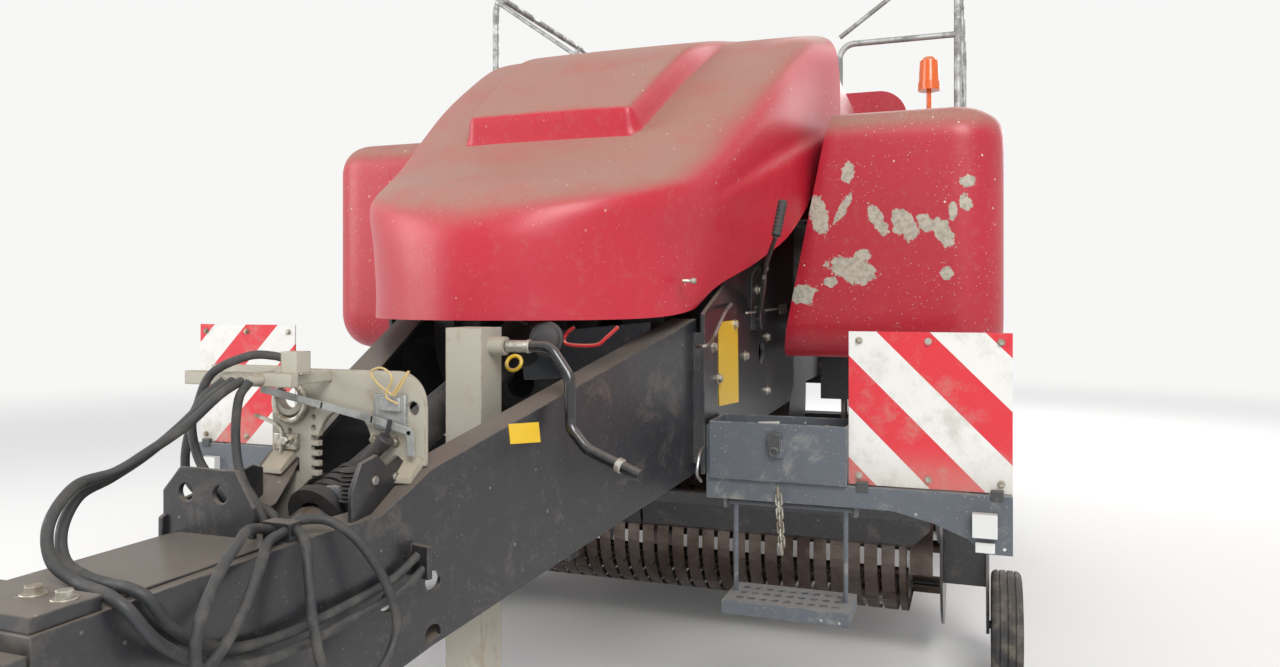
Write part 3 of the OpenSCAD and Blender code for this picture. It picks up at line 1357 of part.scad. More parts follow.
module axle() {
  color("#33363b") {
    box(-track_x + 290, track_x - 290, axle_y - axle_w / 2, axle_y + axle_w / 2, tyre_d / 2 - axle_w / 2,
      tyre_d / 2 + axle_w / 2);
    both_sides() {
      // Stub and hub flange
      translate([track_x - 292, axle_y, tyre_d / 2]) rotate([0, 90, 0]) cylinder(h = 400, d = spindle_d);
      // Brackets up to the chamber
      side_cut(chamber_out_x + 60, chamber_out_x + 80) polygon([
        [axle_y - 75, tyre_d / 2 + 75], [axle_y + 75, tyre_d / 2 + 75], [axle_y + 300, 1120],
        [axle_y + 300, 1300], [axle_y + 60, 1300], [axle_y - 60, 1000]]);
      box(chamber_out_x + 0.3, chamber_out_x + 62, axle_y + 240, axle_y + 300, 1060, 1190);
    }
  }
}

// Rim drawn about its own middle, the dished side towards +X
module rim() {
  color("#d6d4cc") turned_x(96) {
    difference() {
      translate([rim_d / 2 - 30, -240]) square([44, 480]);
      translate([rim_d / 2 - 31, -225]) square([24, 450]);
    }
    translate([spindle_d / 2 + run_gap, -10]) square([rim_d / 2 - 6 - spindle_d / 2, 14]);
    translate([spindle_d / 2 + run_gap, -10]) square([45, 130]);
  }
}

module tyre_body() {
  r = tyre_d / 2;
  w = tyre_w / 2;
  color("#27282a") turned_x(96) difference() {
    hull() {
      translate([r - 90, -w + 60]) circle(r = 60);
      translate([r - 90, w - 60]) circle(r = 60);
      translate([r - 22, -w + 110]) circle(r = 20);
      translate([r - 22, w - 110]) circle(r = 20);
      translate([rim_d / 2 + 15, -236]) square([10, 472]);
    }
    hull() {
      translate([r - 110, -w + 70]) circle(r = 40);
      translate([r - 110, w - 70]) circle(r = 40);
      translate([rim_d / 2 + 10, -215]) square([4, 430]);
    }
  }
}

module wheel_left() {
  translate([track_x, axle_y, tyre_d / 2]) rim();
}

module wheel_right() {
  mirror([1, 0, 0]) translate([track_x, axle_y, tyre_d / 2]) rim();
}

module tyre_left() {
  translate([track_x, axle_y, tyre_d / 2]) tyre_body();
}

module tyre_right() {
  mirror([1, 0, 0]) translate([track_x, axle_y, tyre_d / 2]) tyre_body();
}

module twine_box() {
  x1 = twine_out_x;
  y0 = twine_front_y;
  bay = (twine_rear_y - y0 - 10) / 4;
  color("#8c2730") {
    difference() {
      box(twine_in_x, x1, y0, twine_rear_y, twine_low_z, twine_top_z);
      for (i = [0 : 3]) {
        box(twine_in_x + 4, x1 + eps, y0 + 10 + bay * i, y0 + bay * (i + 1), twine_low_z + 5, 1720);
        box(twine_in_x + 4, x1 + eps, y0 + 10 + bay * i, y0 + bay * (i + 1), 1725, twine_top_z - 5);
      }
    }
    // Arms that carry the box on the chamber's rails
    for (y = [y0 + 60, 1100, 1900, twine_rear_y - 110])
      box(chamber_out_x + 60, twine_in_x + eps, y, y + 50, roof_z - 70, roof_z - 10);
    // Hinge pin of the side cover, carried between its knuckles
    translate([door_pin_x, y0, door_pin_z]) rotate([-90, 0, 0]) cylinder(h = twine_rear_y - y0, d = door_pin);
    for (i = [0 : 4]) {
      y = y0 + 6 + (twine_rear_y - y0 - 32) / 4 * i;
      box(x1 - eps, door_pin_x, y, y + 20, door_pin_z - 8, door_pin_z + 8);
    }
    // Posts and pins of the front shield's hinge
    for (z = [shield_low_z + 150, shield_top_z - 250]) {
      translate([shield_pin_x, shield_pin_y, z]) cylinder(h = 100, d = shield_pin);
      for (h = [z, z + 86]) {
        translate([shield_pin_x, shield_pin_y, h]) cylinder(h = 14, d = 26);
        box(shield_pin_x - 46, shield_pin_x - 2, shield_pin_y - 6, shield_pin_y + 6, h, h + 14);
        box(shield_pin_x - 46, shield_pin_x - 38, shield_pin_y, y0 - 2, h, h + 14);
        box(x1 - 60, shield_pin_x - 38, y0 - 12, y0 + eps, h, h + 14);
      }
    }
  }
  // Hinge posts of the knotter cover
  color("#2a2c30") {
    translate([680, knot_rear_y + 22, knot_low_z + 24]) rotate([0, 90, 0]) cylinder(h = 100, d = knot_pin);
    for (x = [682, 764]) box(x, x + 14, knot_rear_y + 8, knot_rear_y + 36, twine_top_z - eps, knot_low_z + 36);
  }
}

module side_cover_outline(inset) {
  r = 100 - inset;
  low = inset > 0 ? 30 : 20;
  translate([cover_x - 100, twine_low_z - low]) square([100 - inset, twine_top_z - 110 - twine_low_z + low]);
  translate([cover_x - 100, twine_top_z - 110]) circle(r = r, $fn = 96);
}

module side_cover() {
  y0 = shield_rear_y + cover_gap;
  difference() {
    front_cut(y0, twine_rear_y) side_cover_outline(0);
    front_cut(y0 - 1, twine_rear_y - panel_t) side_cover_outline(panel_t);
    box(0, cover_x - 100, y0 - 1, twine_rear_y + 1, 0, 3000);
  }
  // Knuckles round the hinge pin
  for (i = [0 : 3]) {
    y = twine_front_y + 60 + (twine_rear_y - twine_front_y - 32) / 4 * i;
    difference() {
      union() {
        translate([door_pin_x, y, door_pin_z]) rotate([-90, 0, 0]) cylinder(h = 90, d = door_pin + 10);
        box(door_pin_x, cover_x - 98, y, y + 90, door_pin_z - 6, door_pin_z + 4);
      }
      translate([door_pin_x, y - 1, door_pin_z]) rotate([-90, 0, 0])
        cylinder(h = 92, d = door_pin + 2 * run_gap);
    }
  }
}

module side_cover_left() {
  color("#c8102e") side_cover();
}

module side_cover_right() {
  color("#c8102e") mirror([1, 0, 0]) side_cover();
}

module handrail() {
  post_x = 1200;
  y0 = 470;
  y1 = 2700;
  mid_y = 1570;
  top = rail_top_z - rail_d / 2;
  deck = twine_top_z;
  color("#9a9c9c") {
    bent_tube([[post_x, y0, deck], [post_x, y0, top], [post_x, y1, top], [post_x, y1, deck]], rail_d, 110);
    rod([post_x, y0, 2640], [post_x, y1, 2640], rail_d - 4);
    rod([post_x, mid_y, deck], [post_x, mid_y, top], rail_d - 2);
    bent_tube([[post_x, y0, 2665], [664, y0, 2665], [664, y0, cover_top(y0) + 4]], 28, 70);
    side_cut(638, 690) polygon([[y0 - 30, cover_top(y0 - 30) + 0.3], [y0 + 30, cover_top(y0 + 30) + 0.3],
      [y0 + 30, cover_top(y0 + 30) + 8], [y0 - 30, cover_top(y0 - 30) + 8]]);
    rod([post_x, y0, 3080], [664, y0, 2700], 22);
  }
}

module beacon() {
  x = 1030;
  y = 1400;
  color("#333333") {
    translate([x, y, twine_top_z]) cylinder(h = 500, d = 28);
    translate([x, y, twine_top_z + 490]) cylinder(h = 45, d = 120);
  }
  color("orange") translate([x, y, twine_top_z + 535]) {
    cylinder(h = 120, d1 = 112, d2 = 100);
    translate([0, 0, 119]) cylinder(h = 22, d1 = 96, d2 = 60);
  }
}

module chute() {
  y0 = chute_y;
  z0 = chute_z;
  color("#454a52") {
    both_sides() side_cut(chute_x, chute_x + 12) difference() {
      polygon([[y0 - 40, z0 - 30], [y0 - 10, z0 - 50], [y0 + 50, z0 - 40], [y0 + 130, z0 + chute_len],
        [y0 + 30, z0 + chute_len], [y0 - 40, z0 + 60]]);
      translate([y0, z0]) circle(d = chute_pin + 2 * run_gap);
    }
  }
}

module chute_rollers() {
  color("#8f9296") for (i = [1 : roller_n]) {
    s = i / (roller_n + 0.4);
    translate([-chute_x, chute_y + 5 + 75 * s, chute_z + chute_len * s]) rotate([0, 90, 0])
      cylinder(h = 2 * chute_x, d = 70);
  }
}

module rear_ladder() {
  y0 = rear_y - 120;
  x0 = 880;
  x1 = 1220;
  deck = twine_top_z;
  color("#55595e") {
    for (x = [x0, x1]) box(x - 15, x + 15, y0, y0 + 50, 560, deck);
    for (i = [0 : 5]) box(x0 + 14, x1 - 14, y0, rear_y, 600 + 290 * i, 625 + 290 * i);
    // Platform behind the twine box and its carrier from the chamber
    box(x0 - 100, x1 + 15, twine_rear_y, y0 + 1, deck - 30, deck);
    box(chamber_out_x + 60, x0, chamber_rear_y - 110, chamber_rear_y - 50, roof_z - 70, roof_z - 10);
    box(x0 - 60, x0, chamber_rear_y - 110, chamber_rear_y - 50, roof_z - 11, deck - 29);
  }
}

module rear_lamps() {
  y1 = chamber_rear_y + 50;
  color("#7a1618") both_sides() box(600, 860, y1, y1 + 40, 1080, 1180);
  color("#3a3f47") both_sides() box(chamber_out_x + 41, 640, chamber_rear_y - 19.7, y1 + 1, 1095, 1145);
}

hitch_ring();
tongue();
side_plates();
jack_tube();
jack_leg();
jack_crank();
notch_plate();
drive_shaft();
shaft_guard();
flywheel();
gearbox();
hood();
front_shield_left();
front_shield_right();
cross_beams();
warning_boards();
marker_lamps();
toolbox();
folding_step();
brake_lever();
pickup_frame();
stripper_bands();
tine_reel();
windguard();
gauge_wheel_left();
gauge_wheel_right();
feed_duct();
bale_chamber();
plunger();
needle_yoke();
knotters();
knotter_cover();
top_cover();
axle();
wheel_left();
wheel_right();
tyre_left();
tyre_right();
twine_box();  // twine_box_left
mirror([1, 0, 0]) twine_box();  // twine_box_right
side_cover_left();
side_cover_right();
handrail();  // handrail_left
mirror([1, 0, 0]) handrail();  // handrail_right
beacon();
chute();
chute_rollers();
rear_ladder();
rear_lamps();
hose_inner();
hose_outer();
hose_arch();
hose_middle();
hose_lower();
hose_front();
hose_side();
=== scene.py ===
import math

import bmesh
import bpy
import numpy as np
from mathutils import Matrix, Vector


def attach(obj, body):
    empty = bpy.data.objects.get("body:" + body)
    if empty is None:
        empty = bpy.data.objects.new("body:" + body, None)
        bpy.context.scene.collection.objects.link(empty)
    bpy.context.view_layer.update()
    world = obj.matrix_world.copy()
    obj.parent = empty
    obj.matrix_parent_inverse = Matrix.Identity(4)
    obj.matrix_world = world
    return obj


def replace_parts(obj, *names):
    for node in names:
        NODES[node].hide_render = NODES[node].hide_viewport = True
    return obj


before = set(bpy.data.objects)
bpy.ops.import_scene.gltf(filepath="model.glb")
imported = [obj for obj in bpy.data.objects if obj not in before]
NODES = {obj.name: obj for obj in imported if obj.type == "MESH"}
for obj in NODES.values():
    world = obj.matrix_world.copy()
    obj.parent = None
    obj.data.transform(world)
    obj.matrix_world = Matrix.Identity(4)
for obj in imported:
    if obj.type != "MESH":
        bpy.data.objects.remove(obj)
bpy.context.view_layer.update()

# Camera at the photo's place: metres, and pixels of the photo for the lens and the horizon
CAM_X, CAM_Y, CAM_Z = 1.28, -4.03, 1.44
YAW = math.radians(20.0)
PHOTO_W, PHOTO_H = 1280.0, 667.0
MIDDLE, FOCAL, HORIZON = PHOTO_W / 2, 924.0, 300.0
SENSOR = 36.0
cam_data = bpy.data.cameras.new("photo_camera")
cam_data.sensor_width = SENSOR
cam_data.lens = FOCAL / PHOTO_W * SENSOR
cam = bpy.data.objects.new("photo_camera", cam_data)
bpy.context.scene.collection.objects.link(cam)
bpy.context.scene.camera = cam
cam.location = (CAM_X, CAM_Y, CAM_Z)
cam.rotation_euler = (math.radians(90.0), 0.0, YAW)
cam_data.shift_y = (HORIZON - PHOTO_H / 2) / PHOTO_W
bpy.context.scene.view_settings.view_transform = "Standard"

# Outer faces that small things sit on: the tongue's left beam (x, y and slope), the side plates
BEAM_X, BEAM_Y, BEAM_SLOPE = 0.1356, -2.64, 0.3099
SIDE_X = 0.540

# Pixels at which the photo shows the small things
SEEN = {
    "guide_ring": (290, 402),
    "bent_rod": [(255, 415), (268, 420), (280, 427), (282, 438), (281, 452)],
    "lock_plate": (287, 441),
    "lock_bolt": (287, 440),
    "card_bolts": [(396, 441), (376, 439)],
    "card": (391, 412),
    "socket": (391, 404),
    "strap": [(262, 389), (322, 405), (372, 419), (410, 432), (411, 455)],
    "channel": [(214, 374), (298, 374)],
    "plug_lead": [(390, 420), (386, 436), (378, 444)],
    "plug_collar": [(387, 438), (381, 445)],
    "thin_cable": [(366, 462), (360, 478), (364, 494), (370, 505), (372, 522)],
    "bow_loop": [(392, 395), (378, 384), (371, 372), (382, 368), (392, 378), (386, 396), (398, 404)],
    "bow_end": [(392, 395), (402, 380), (409, 371), (402, 384), (394, 396)],
    "flange": (335, 520),
    "flange_bolts": [(305, 513), (369, 516), (330, 549), (352, 489)],
    "bellows": [(352, 500), (352, 468)],
    "guard_cap": (547, 339),
    "guard_ring": (514, 363),
    "inner_panel": [(520, 334), (650, 322), (652, 372), (524, 380)],
    "pull_handle": [(574, 327), (567, 333), (564, 341), (572, 345), (596, 345), (606, 338), (618, 327)],
    "step_chain": [(778, 489), (782, 552)],
}
PLUG_FRONT, PLUG_BACK = (384, 442), (365, 462)
HORN_BEND, HORN_END = (306, 534), (280, 546)
BEAM_LABEL = [(508, 424), (538, 422), (540, 442), (510, 444)]
SIDE_LABEL = [(718, 322), (737, 320), (738, 402), (719, 406)]
TAG_ROD_A, TAG_ROD_B, TAG = (746, 313), (777, 309), (783, 309)
LEVER_BOLTS = [(757, 290), (765, 268)]
LEVER_FOOT, LEVER_KNEE, GRIP_LOW, GRIP_TOP = (758, 318), (765, 268), (776, 236), (783, 201)
HOOD_LATCH = (683, 281)
# Pixel, then how far the place stands out from the side plate
GRAB_ROD = [(731, 304, 0.0), (727, 309, 0.028), (721, 320, 0.032), (712, 340, 0.032), (705, 346, 0.028),
            (697, 346, 0.0)]
HOOK_ROD = [(703, 447, 0.002), (700, 452, 0.020), (698, 462, 0.022), (697, 474, 0.020), (701, 481, 0.008)]
# Pixel, then radius of the dropping
DROPPINGS = [(582, 153, 0.020), (597, 163, 0.012), (582, 171, 0.017), (563, 183, 0.018), (627, 143, 0.009)]


def at(px, py, y):
    """The point at depth y that a pixel of the photo shows."""
    k = (px - MIDDLE) / FOCAL
    run = y - CAM_Y
    d = run / (math.cos(YAW) + math.sin(YAW) * k)
    x = CAM_X + run * math.tan(math.atan(k) - YAW)
    return Vector((x, y, CAM_Z - (py - HORIZON) * d / FOCAL))


def on_side(px, py, xa, ya=0.0, slope=0.0):
    """The point that a pixel shows on an upright plane x = xa + slope * (y - ya)."""
    t = math.tan(math.atan((px - MIDDLE) / FOCAL) - YAW)
    run = (xa - (ya - CAM_Y) * slope - CAM_X) / (t - slope)
    return at(px, py, run + CAM_Y)


def seen(name, y):
    """The point, or the list of points, at depth y where the photo shows a thing."""
    spot = SEEN[name]
    if isinstance(spot, list):
        return [at(px, py, y) for px, py in spot]
    return at(*spot, y)


def through(points, n):
    """Smooth curve through the points, n places on each stretch."""
    p = np.array(points, float)
    p = np.vstack([2 * p[0] - p[1], p, 2 * p[-1] - p[-2]])
    out = []
    for i in range(1, len(p) - 2):
        a, b, c, d = p[i - 1], p[i], p[i + 1], p[i + 2]
        for j in range(n):
            f = j / n
            square = (2 * a - 5 * b + 4 * c - d) * f * f
            cube = (3 * b - 3 * c + d - a) * f ** 3
            out.append(0.5 * (2 * b + (c - a) * f + square + cube))
    out.append(p[-2])
    return np.array(out)


def frame_of(axis):
    """Two directions across an axis, and the axis itself."""
    w = Vector(axis).normalized()
    u = w.cross(Vector((0, 0, 1)) if abs(w.z) < 0.9 else Vector((1, 0, 0))).normalized()
    return u, w.cross(u), w


def circle(n, start=0.0):
    """Cosine and sine at n even steps round a circle."""
    turn = [2 * math.pi * (k + start) / n for k in range(n)]
    return [(math.cos(a), math.sin(a)) for a in turn]


def tube_faces(rings, n):
    """Faces between rings of n points that follow each other in the list of points, and both ends."""
    sides = [(i * n + k, i * n + (k + 1) % n, (i + 1) * n + (k + 1) % n, (i + 1) * n + k)
             for i in range(rings - 1) for k in range(n)]
    return sides + [tuple(range(n))[::-1], tuple(range((rings - 1) * n, rings * n))]


BOX_FACES = [(0, 2, 3, 1), (4, 5, 7, 6), (0, 1, 5, 4), (2, 6, 7, 3), (0, 4, 6, 2), (1, 3, 7, 5)]
SLAB_FACES = [(3, 2, 1, 0), (4, 5, 6, 7), (0, 1, 5, 4), (1, 2, 6, 5), (2, 3, 7, 6), (3, 0, 4, 7)]


class Build:
    """Collects the geometry of one piece."""

    def __init__(self):
        self.v = []
        self.f = []

    def add(self, verts, faces):
        k = len(self.v)
        self.v += [tuple(v) for v in verts]
        self.f += [tuple(i + k for i in f) for f in faces]
        return self

    def box(self, x0, x1, y0, y1, z0, z1):
        return self.add([(x, y, z) for z in (z0, z1) for y in (y0, y1) for x in (x0, x1)], BOX_FACES)

    def block(self, centre, size, u, w):
        """Box about a centre, its sides along u, along w x u, and along w."""
        w = Vector(w).normalized()
        u = (Vector(u) - w * Vector(u).dot(w)).normalized()
        s = w.cross(u)
        c = Vector(centre)
        v = [c + u * (size[0] / 2 * a) + s * (size[1] / 2 * b) + w * (size[2] / 2 * e)
             for e in (-1, 1) for b in (-1, 1) for a in (-1, 1)]
        return self.add(v, BOX_FACES)

    def slab(self, corners, near, far):
        """Thin plate between two offsets of four corners."""
        return self.add([q + Vector(near) for q in corners] + [q + Vector(far) for q in corners], SLAB_FACES)

    def lathe(self, p, axis, profile, n=20):
        """Turned form: profile rows are distance along the axis and radius; ends are closed."""
        u, s, w = frame_of(axis)
        p = Vector(p)
        v = [p + w * t + (u * a + s * b) * r for t, r in profile for a, b in circle(n)]
        return self.add(v, tube_faces(len(profile), n))

    def cyl(self, p, q, d, n=20):
        """Round bar from p to q with small rounded ends."""
        p, q = Vector(p), Vector(q)
        h = (q - p).length
        e = min(0.12 * d, 0.2 * h, 0.0025)
        return self.lathe(p, q - p, [(0, d / 2 - e), (e, d / 2), (h - e, d / 2), (h, d / 2 - e)], n)

    def hexbolt(self, p, axis, d=0.018, h=0.011):
        """Hexagon head on its washer."""
        w = Vector(axis).normalized()
        p = Vector(p)
        self.lathe(p - w * 0.004, w, [(0, d * 0.82), (0.0055, d * 0.82), (0.0065, d * 0.78)], 16)
        return self.lathe(p + w * 0.0024, w, [(0, d * 0.58), (h * 0.85, d * 0.58), (h, d * 0.5)], 6)

    def tube(self, points, d, n=10, smooth=0, d_end=None):
        """Round bar along points; smooth adds places between them, d_end tapers it."""
        p = through(points, smooth) if smooth else np.array([tuple(q) for q in points], float)
        m = len(p)
        d_end = d if d_end is None else d_end
        tan = [Vector(p[min(m - 1, i + 1)] - p[max(0, i - 1)]).normalized() for i in range(m)]
        nor = Vector((0, 0, 1)) if abs(tan[0].z) < 0.9 else Vector((1, 0, 0))
        v = []
        for i in range(m):
            nor = (nor - tan[i] * nor.dot(tan[i])).normalized()
            bi = tan[i].cross(nor)
            r = (d + (d_end - d) * i / max(1, m - 1)) / 2
            v += [Vector(p[i]) + (nor * a + bi * b) * r for a, b in circle(n)]
        return self.add(v, tube_faces(m, n))

    def plate(self, outline, origin, u, v, t):
        """Flat plate: outline points along u and v from the origin, t thick along u x v."""
        u, v = Vector(u).normalized(), Vector(v).normalized()
        w = u.cross(v)
        o = Vector(origin)
        n = len(outline)
        pts = [o + u * a + v * b for a, b in outline]
        sides = [(i, (i + 1) % n, n + (i + 1) % n, n + i) for i in range(n)]
        ends = [tuple(range(n))[::-1], tuple(range(n, 2 * n))]
        return self.add(pts + [q + w * t for q in pts], ends + sides)

    def ring(self, c, axis, big, small, n=28, m=8, stretch=0.0, along=None):
        """Torus; stretch makes it a chain link, longer along the given direction."""
        u, s, w = frame_of(axis)
        if along is not None:
            u = Vector(along).normalized()
            s = w.cross(u)
        v = []
        for a, b in circle(n):
            middle = Vector(c) + u * (stretch * (1 if a > 0 else -1))
            out = u * a + s * b
            v += [middle + out * (big + small * e) + w * (small * f) for e, f in circle(m)]
        faces = [(i * m + k, ((i + 1) % n) * m + k, ((i + 1) % n) * m + (k + 1) % m, i * m + (k + 1) % m)
                 for i in range(n) for k in range(m)]
        return self.add(v, faces)

    def mirrored(self):
        """The same geometry again on the other side of the machine."""
        return self.add([(-x, y, z) for x, y, z in self.v], [f[::-1] for f in list(self.f)])

    def object(self, name, mat, body, slot, bevel=0.0, angle=34.0):
        """Makes the piece: finish from M, riding on a body; slot, one of the part's colour slots, is not used.
        """
        me = bpy.data.meshes.new(name)
        me.from_pydata(self.v, [], self.f)
        me.validate()
        bm = bmesh.new()
        bm.from_mesh(me)
        bmesh.ops.recalc_face_normals(bm, faces=bm.faces)
        bm.to_mesh(me)
        bm.free()
        ob = bpy.data.objects.new(name, me)
        bpy.context.scene.collection.objects.link(ob)
        me.polygons.foreach_set("use_smooth", [True] * len(me.polygons))
        me.set_sharp_from_angle(angle=math.radians(angle))
        me.materials.append(M[mat])
        if bevel:
            b = ob.modifiers.new("bevel", "BEVEL")
            b.width = bevel
            b.segments = 2
            b.limit_method = "ANGLE"
            b.angle_limit = math.radians(40)
        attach(ob, body)
        return ob


class Tree:
    """Short names for building a node material."""

    def __init__(self, name, coat=0.0):
        self.mat = bpy.data.materials.new(name)
        self.mat.use_nodes = True
        self.t = self.mat.node_tree
        self.bsdf = self.t.nodes["Principled BSDF"]
        if coat:
            self.bsdf.inputs["Coat Weight"].default_value = coat
            self.bsdf.inputs["Coat Roughness"].default_value = 0.22
        self.geo = self.t.nodes.new("ShaderNodeNewGeometry")
        self.co = self.t.nodes.new("ShaderNodeTexCoord").outputs["Object"]
        self.soft = None

    def link(self, a, b):
        self.t.links.new(a, b)

    def put(self, value, socket):
        """A constant, a colour or another node's output, given to a socket."""
        if isinstance(value, (tuple, list)):
            full = (*value, 1.0) if len(value) == 3 and socket.type == "RGBA" else value
            socket.default_value = full
        elif isinstance(value, (int, float)):
            socket.default_value = value
        elif value is not None:
            self.link(value, socket)

    def node(self, kind, given):
        """A new node, its inputs given by name or by place."""
        n = self.t.nodes.new("ShaderNode" + kind)
        for key, value in given.items():
            self.put(value, n.inputs[key])
        return n

    def noise(self, scale, detail=4.0, rough=0.6, distortion=0.0):
        given = {"Vector": self.co, "Scale": scale, "Detail": detail, "Roughness": rough,
                 "Distortion": distortion}
        return self.node("TexNoise", given).outputs["Fac"]

    def voronoi(self, scale):
        return self.node("TexVoronoi", {"Vector": self.co, "Scale": scale}).outputs["Distance"]

    def level(self, fac, lo, hi, a=0.0, b=1.0):
        """Maps lo..hi softly to a..b."""
        given = {"Value": fac, "From Min": lo, "From Max": hi, "To Min": a, "To Max": b}
        m = self.node("MapRange", given)
        m.interpolation_type = "SMOOTHSTEP"
        return m.outputs["Result"]

    def math(self, op, a, b=None, clamp=True):
        m = self.node("Math", {0: a, 1: b})
        m.operation = op
        m.use_clamp = clamp and op in ("ADD", "MULTIPLY", "SUBTRACT")
        return m.outputs[0]

    def vec(self, op, a, b=None, out="Vector"):
        m = self.node("VectorMath", {0: a, 1: b})
        m.operation = op
        return m.outputs[out]

    def mix(self, fac, a, b):
        m = self.node("Mix", {})
        m.data_type = "RGBA"
        for key, kind, v in (("Factor", "VALUE", fac), ("A", "RGBA", a), ("B", "RGBA", b)):
            self.put(v, [i for i in m.inputs if i.name == key and i.type == kind][0])
        return [o for o in m.outputs if o.type == "RGBA"][0]

    def axis(self, vector, name):
        return self.node("SeparateXYZ", {0: vector}).outputs[name]

    def up(self):
        """1 where the face looks up, -1 where it looks down."""
        return self.axis(self.geo.outputs["Normal"], "Z")

    def edges(self, radius=0.005):
        """1 along sharp edges, where paint rubs off; also rounds those edges in the shading."""
        b = self.node("Bevel", {"Radius": radius})
        b.samples = 4
        self.soft = b.outputs["Normal"]
        same = self.vec("DOT_PRODUCT", self.soft, self.geo.outputs["Normal"], "Value")
        return self.level(same, 0.985, 0.90)

    def bump(self, height, strength, distance):
        given = {"Strength": strength, "Distance": distance, "Height": height, "Normal": self.soft}
        b = self.node("Bump", given)
        self.link(b.outputs["Normal"], self.bsdf.inputs["Normal"])

    def finish(self, color, rough, metal=0.0):
        for v, key in ((color, "Base Color"), (rough, "Roughness"), (metal, "Metallic")):
            self.put(v, self.bsdf.inputs[key])
        return self.mat


SPECK_COLOR = (0.60, 0.52, 0.45)


def patches(t, marks):
    """1 inside ragged patches; each mark is a place, its half width and height, and its lean."""
    rag = t.math("SUBTRACT", t.noise(20.0, 5.0, 0.7), 0.5, clamp=False)
    near = None
    for x, y, z, rx, rz, lean in marks:
        off = t.vec("SUBTRACT", t.co, (x, y, z))
        turn = t.node("VectorRotate", {"Vector": off, "Angle": math.radians(lean)})
        turn.rotation_type = "Y_AXIS"
        scaled = t.vec("MULTIPLY", turn.outputs["Vector"], (1 / rx, 0.3 / max(rx, rz), 1 / rz))
        far = t.vec("LENGTH", scaled, out="Value")
        near = far if near is None else t.math("MINIMUM", near, far)
    ragged = t.math("ADD", near, t.math("MULTIPLY", rag, 2.6, clamp=False), clamp=False)
    return t.level(ragged, 1.06, 0.94)


def painted(name, base, dark, rough=0.38, dust=0.75, speck=0.5, dust_color=(0.42, 0.34, 0.25), coat=0.25,
            steep=(0.05, 0.8), wear=None, splash=0.0, marks=(), mark_color=None):
    """Paint with dust on the faces that look up, fine pale specks, rubbed edges, mud and patches."""
    t = Tree(name, coat)
    color = t.mix(t.noise(2.2, 3.0), dark, base)
    big = t.noise(3.1, 6.0, 0.66)
    fine = t.noise(30.0, 7.0, 0.72)
    up = t.level(t.up(), *steep)
    cover = t.math("MULTIPLY", up, t.level(big, 0.20, 0.62, 0.60, 1.0))
    film = t.math("MULTIPLY", t.level(fine, 0.50, 0.74), 0.20)
    cover = t.math("MULTIPLY", t.math("ADD", cover, film), dust)
    if wear:
        rub = t.math("MULTIPLY", t.edges(), t.level(t.noise(22.0, 5.0, 0.7), 0.42, 0.62))
        color = t.mix(rub, color, wear)
    color = t.mix(cover, color, dust_color)
    small = t.level(t.voronoi(74.0), 0.15, 0.06)
    small = t.math("MULTIPLY", small, t.level(t.noise(5.0, 4.0, 0.6), 0.40, 0.60))
    large = t.math("MULTIPLY", t.level(t.voronoi(21.0), 0.10, 0.05), t.level(t.noise(3.0, 3.0), 0.44, 0.58))
    color = t.mix(t.math("MULTIPLY", t.math("MAXIMUM", small, large), speck), color, SPECK_COLOR)
    if splash:
        mud = t.math("MULTIPLY", t.level(t.noise(8.0, 8.0, 0.74, 0.5), 0.54, 0.66), splash)
        color = t.mix(mud, color, dust_color)
    if marks:
        mask = patches(t, marks)
        shade = tuple(c * 0.72 for c in mark_color)
        color = t.mix(mask, color, t.mix(t.level(t.noise(55.0, 5.0, 0.7), 0.42, 0.6), mark_color, shade))
        cover = t.math("MAXIMUM", cover, mask)
    t.bump(t.noise(140.0, 4.0), 0.10, 0.001)
    return t.finish(color, t.level(cover, 0.0, 0.8, rough, 0.85))


def steel(name, a, b, rough=0.35, metal=0.9, scale=7.0):
    """Bare metal in two tones, dirty on top."""
    t = Tree(name)
    n = t.noise(scale, 6.0, 0.65, 0.4)
    color = t.mix(t.level(n, 0.38, 0.62), a, b)
    patchy = t.level(t.noise(6.0, 5.0, 0.7), 0.35, 0.6, 0.0, 0.45)
    color = t.mix(t.math("MULTIPLY", t.level(t.up(), 0.2, 0.95), patchy), color, (0.20, 0.155, 0.11))
    t.bump(t.noise(90.0, 5.0), 0.2, 0.001)
    return t.finish(color, t.level(n, 0.35, 0.65, rough, min(1.0, rough + 0.35)), metal)


def rubber(name, base, dust, amount, rough, scale=9.0):
    """Rubber or plastic with worn, dusty places."""
    t = Tree(name)
    n = t.noise(scale, 6.0, 0.68)
    worn = t.math("MULTIPLY", t.level(n, 0.42, 0.68), amount)
    top = t.math("MULTIPLY", t.level(t.up(), 0.1, 0.95), 0.35 * amount)
    color = t.mix(t.math("MAXIMUM", worn, top), base, dust)
    t.bump(t.noise(60.0, 5.0), 0.25, 0.0015)
    return t.finish(color, t.level(n, 0.3, 0.7, rough, 0.9))


BOARD_CORNER, BAND_PERIOD = 1.877, 0.282


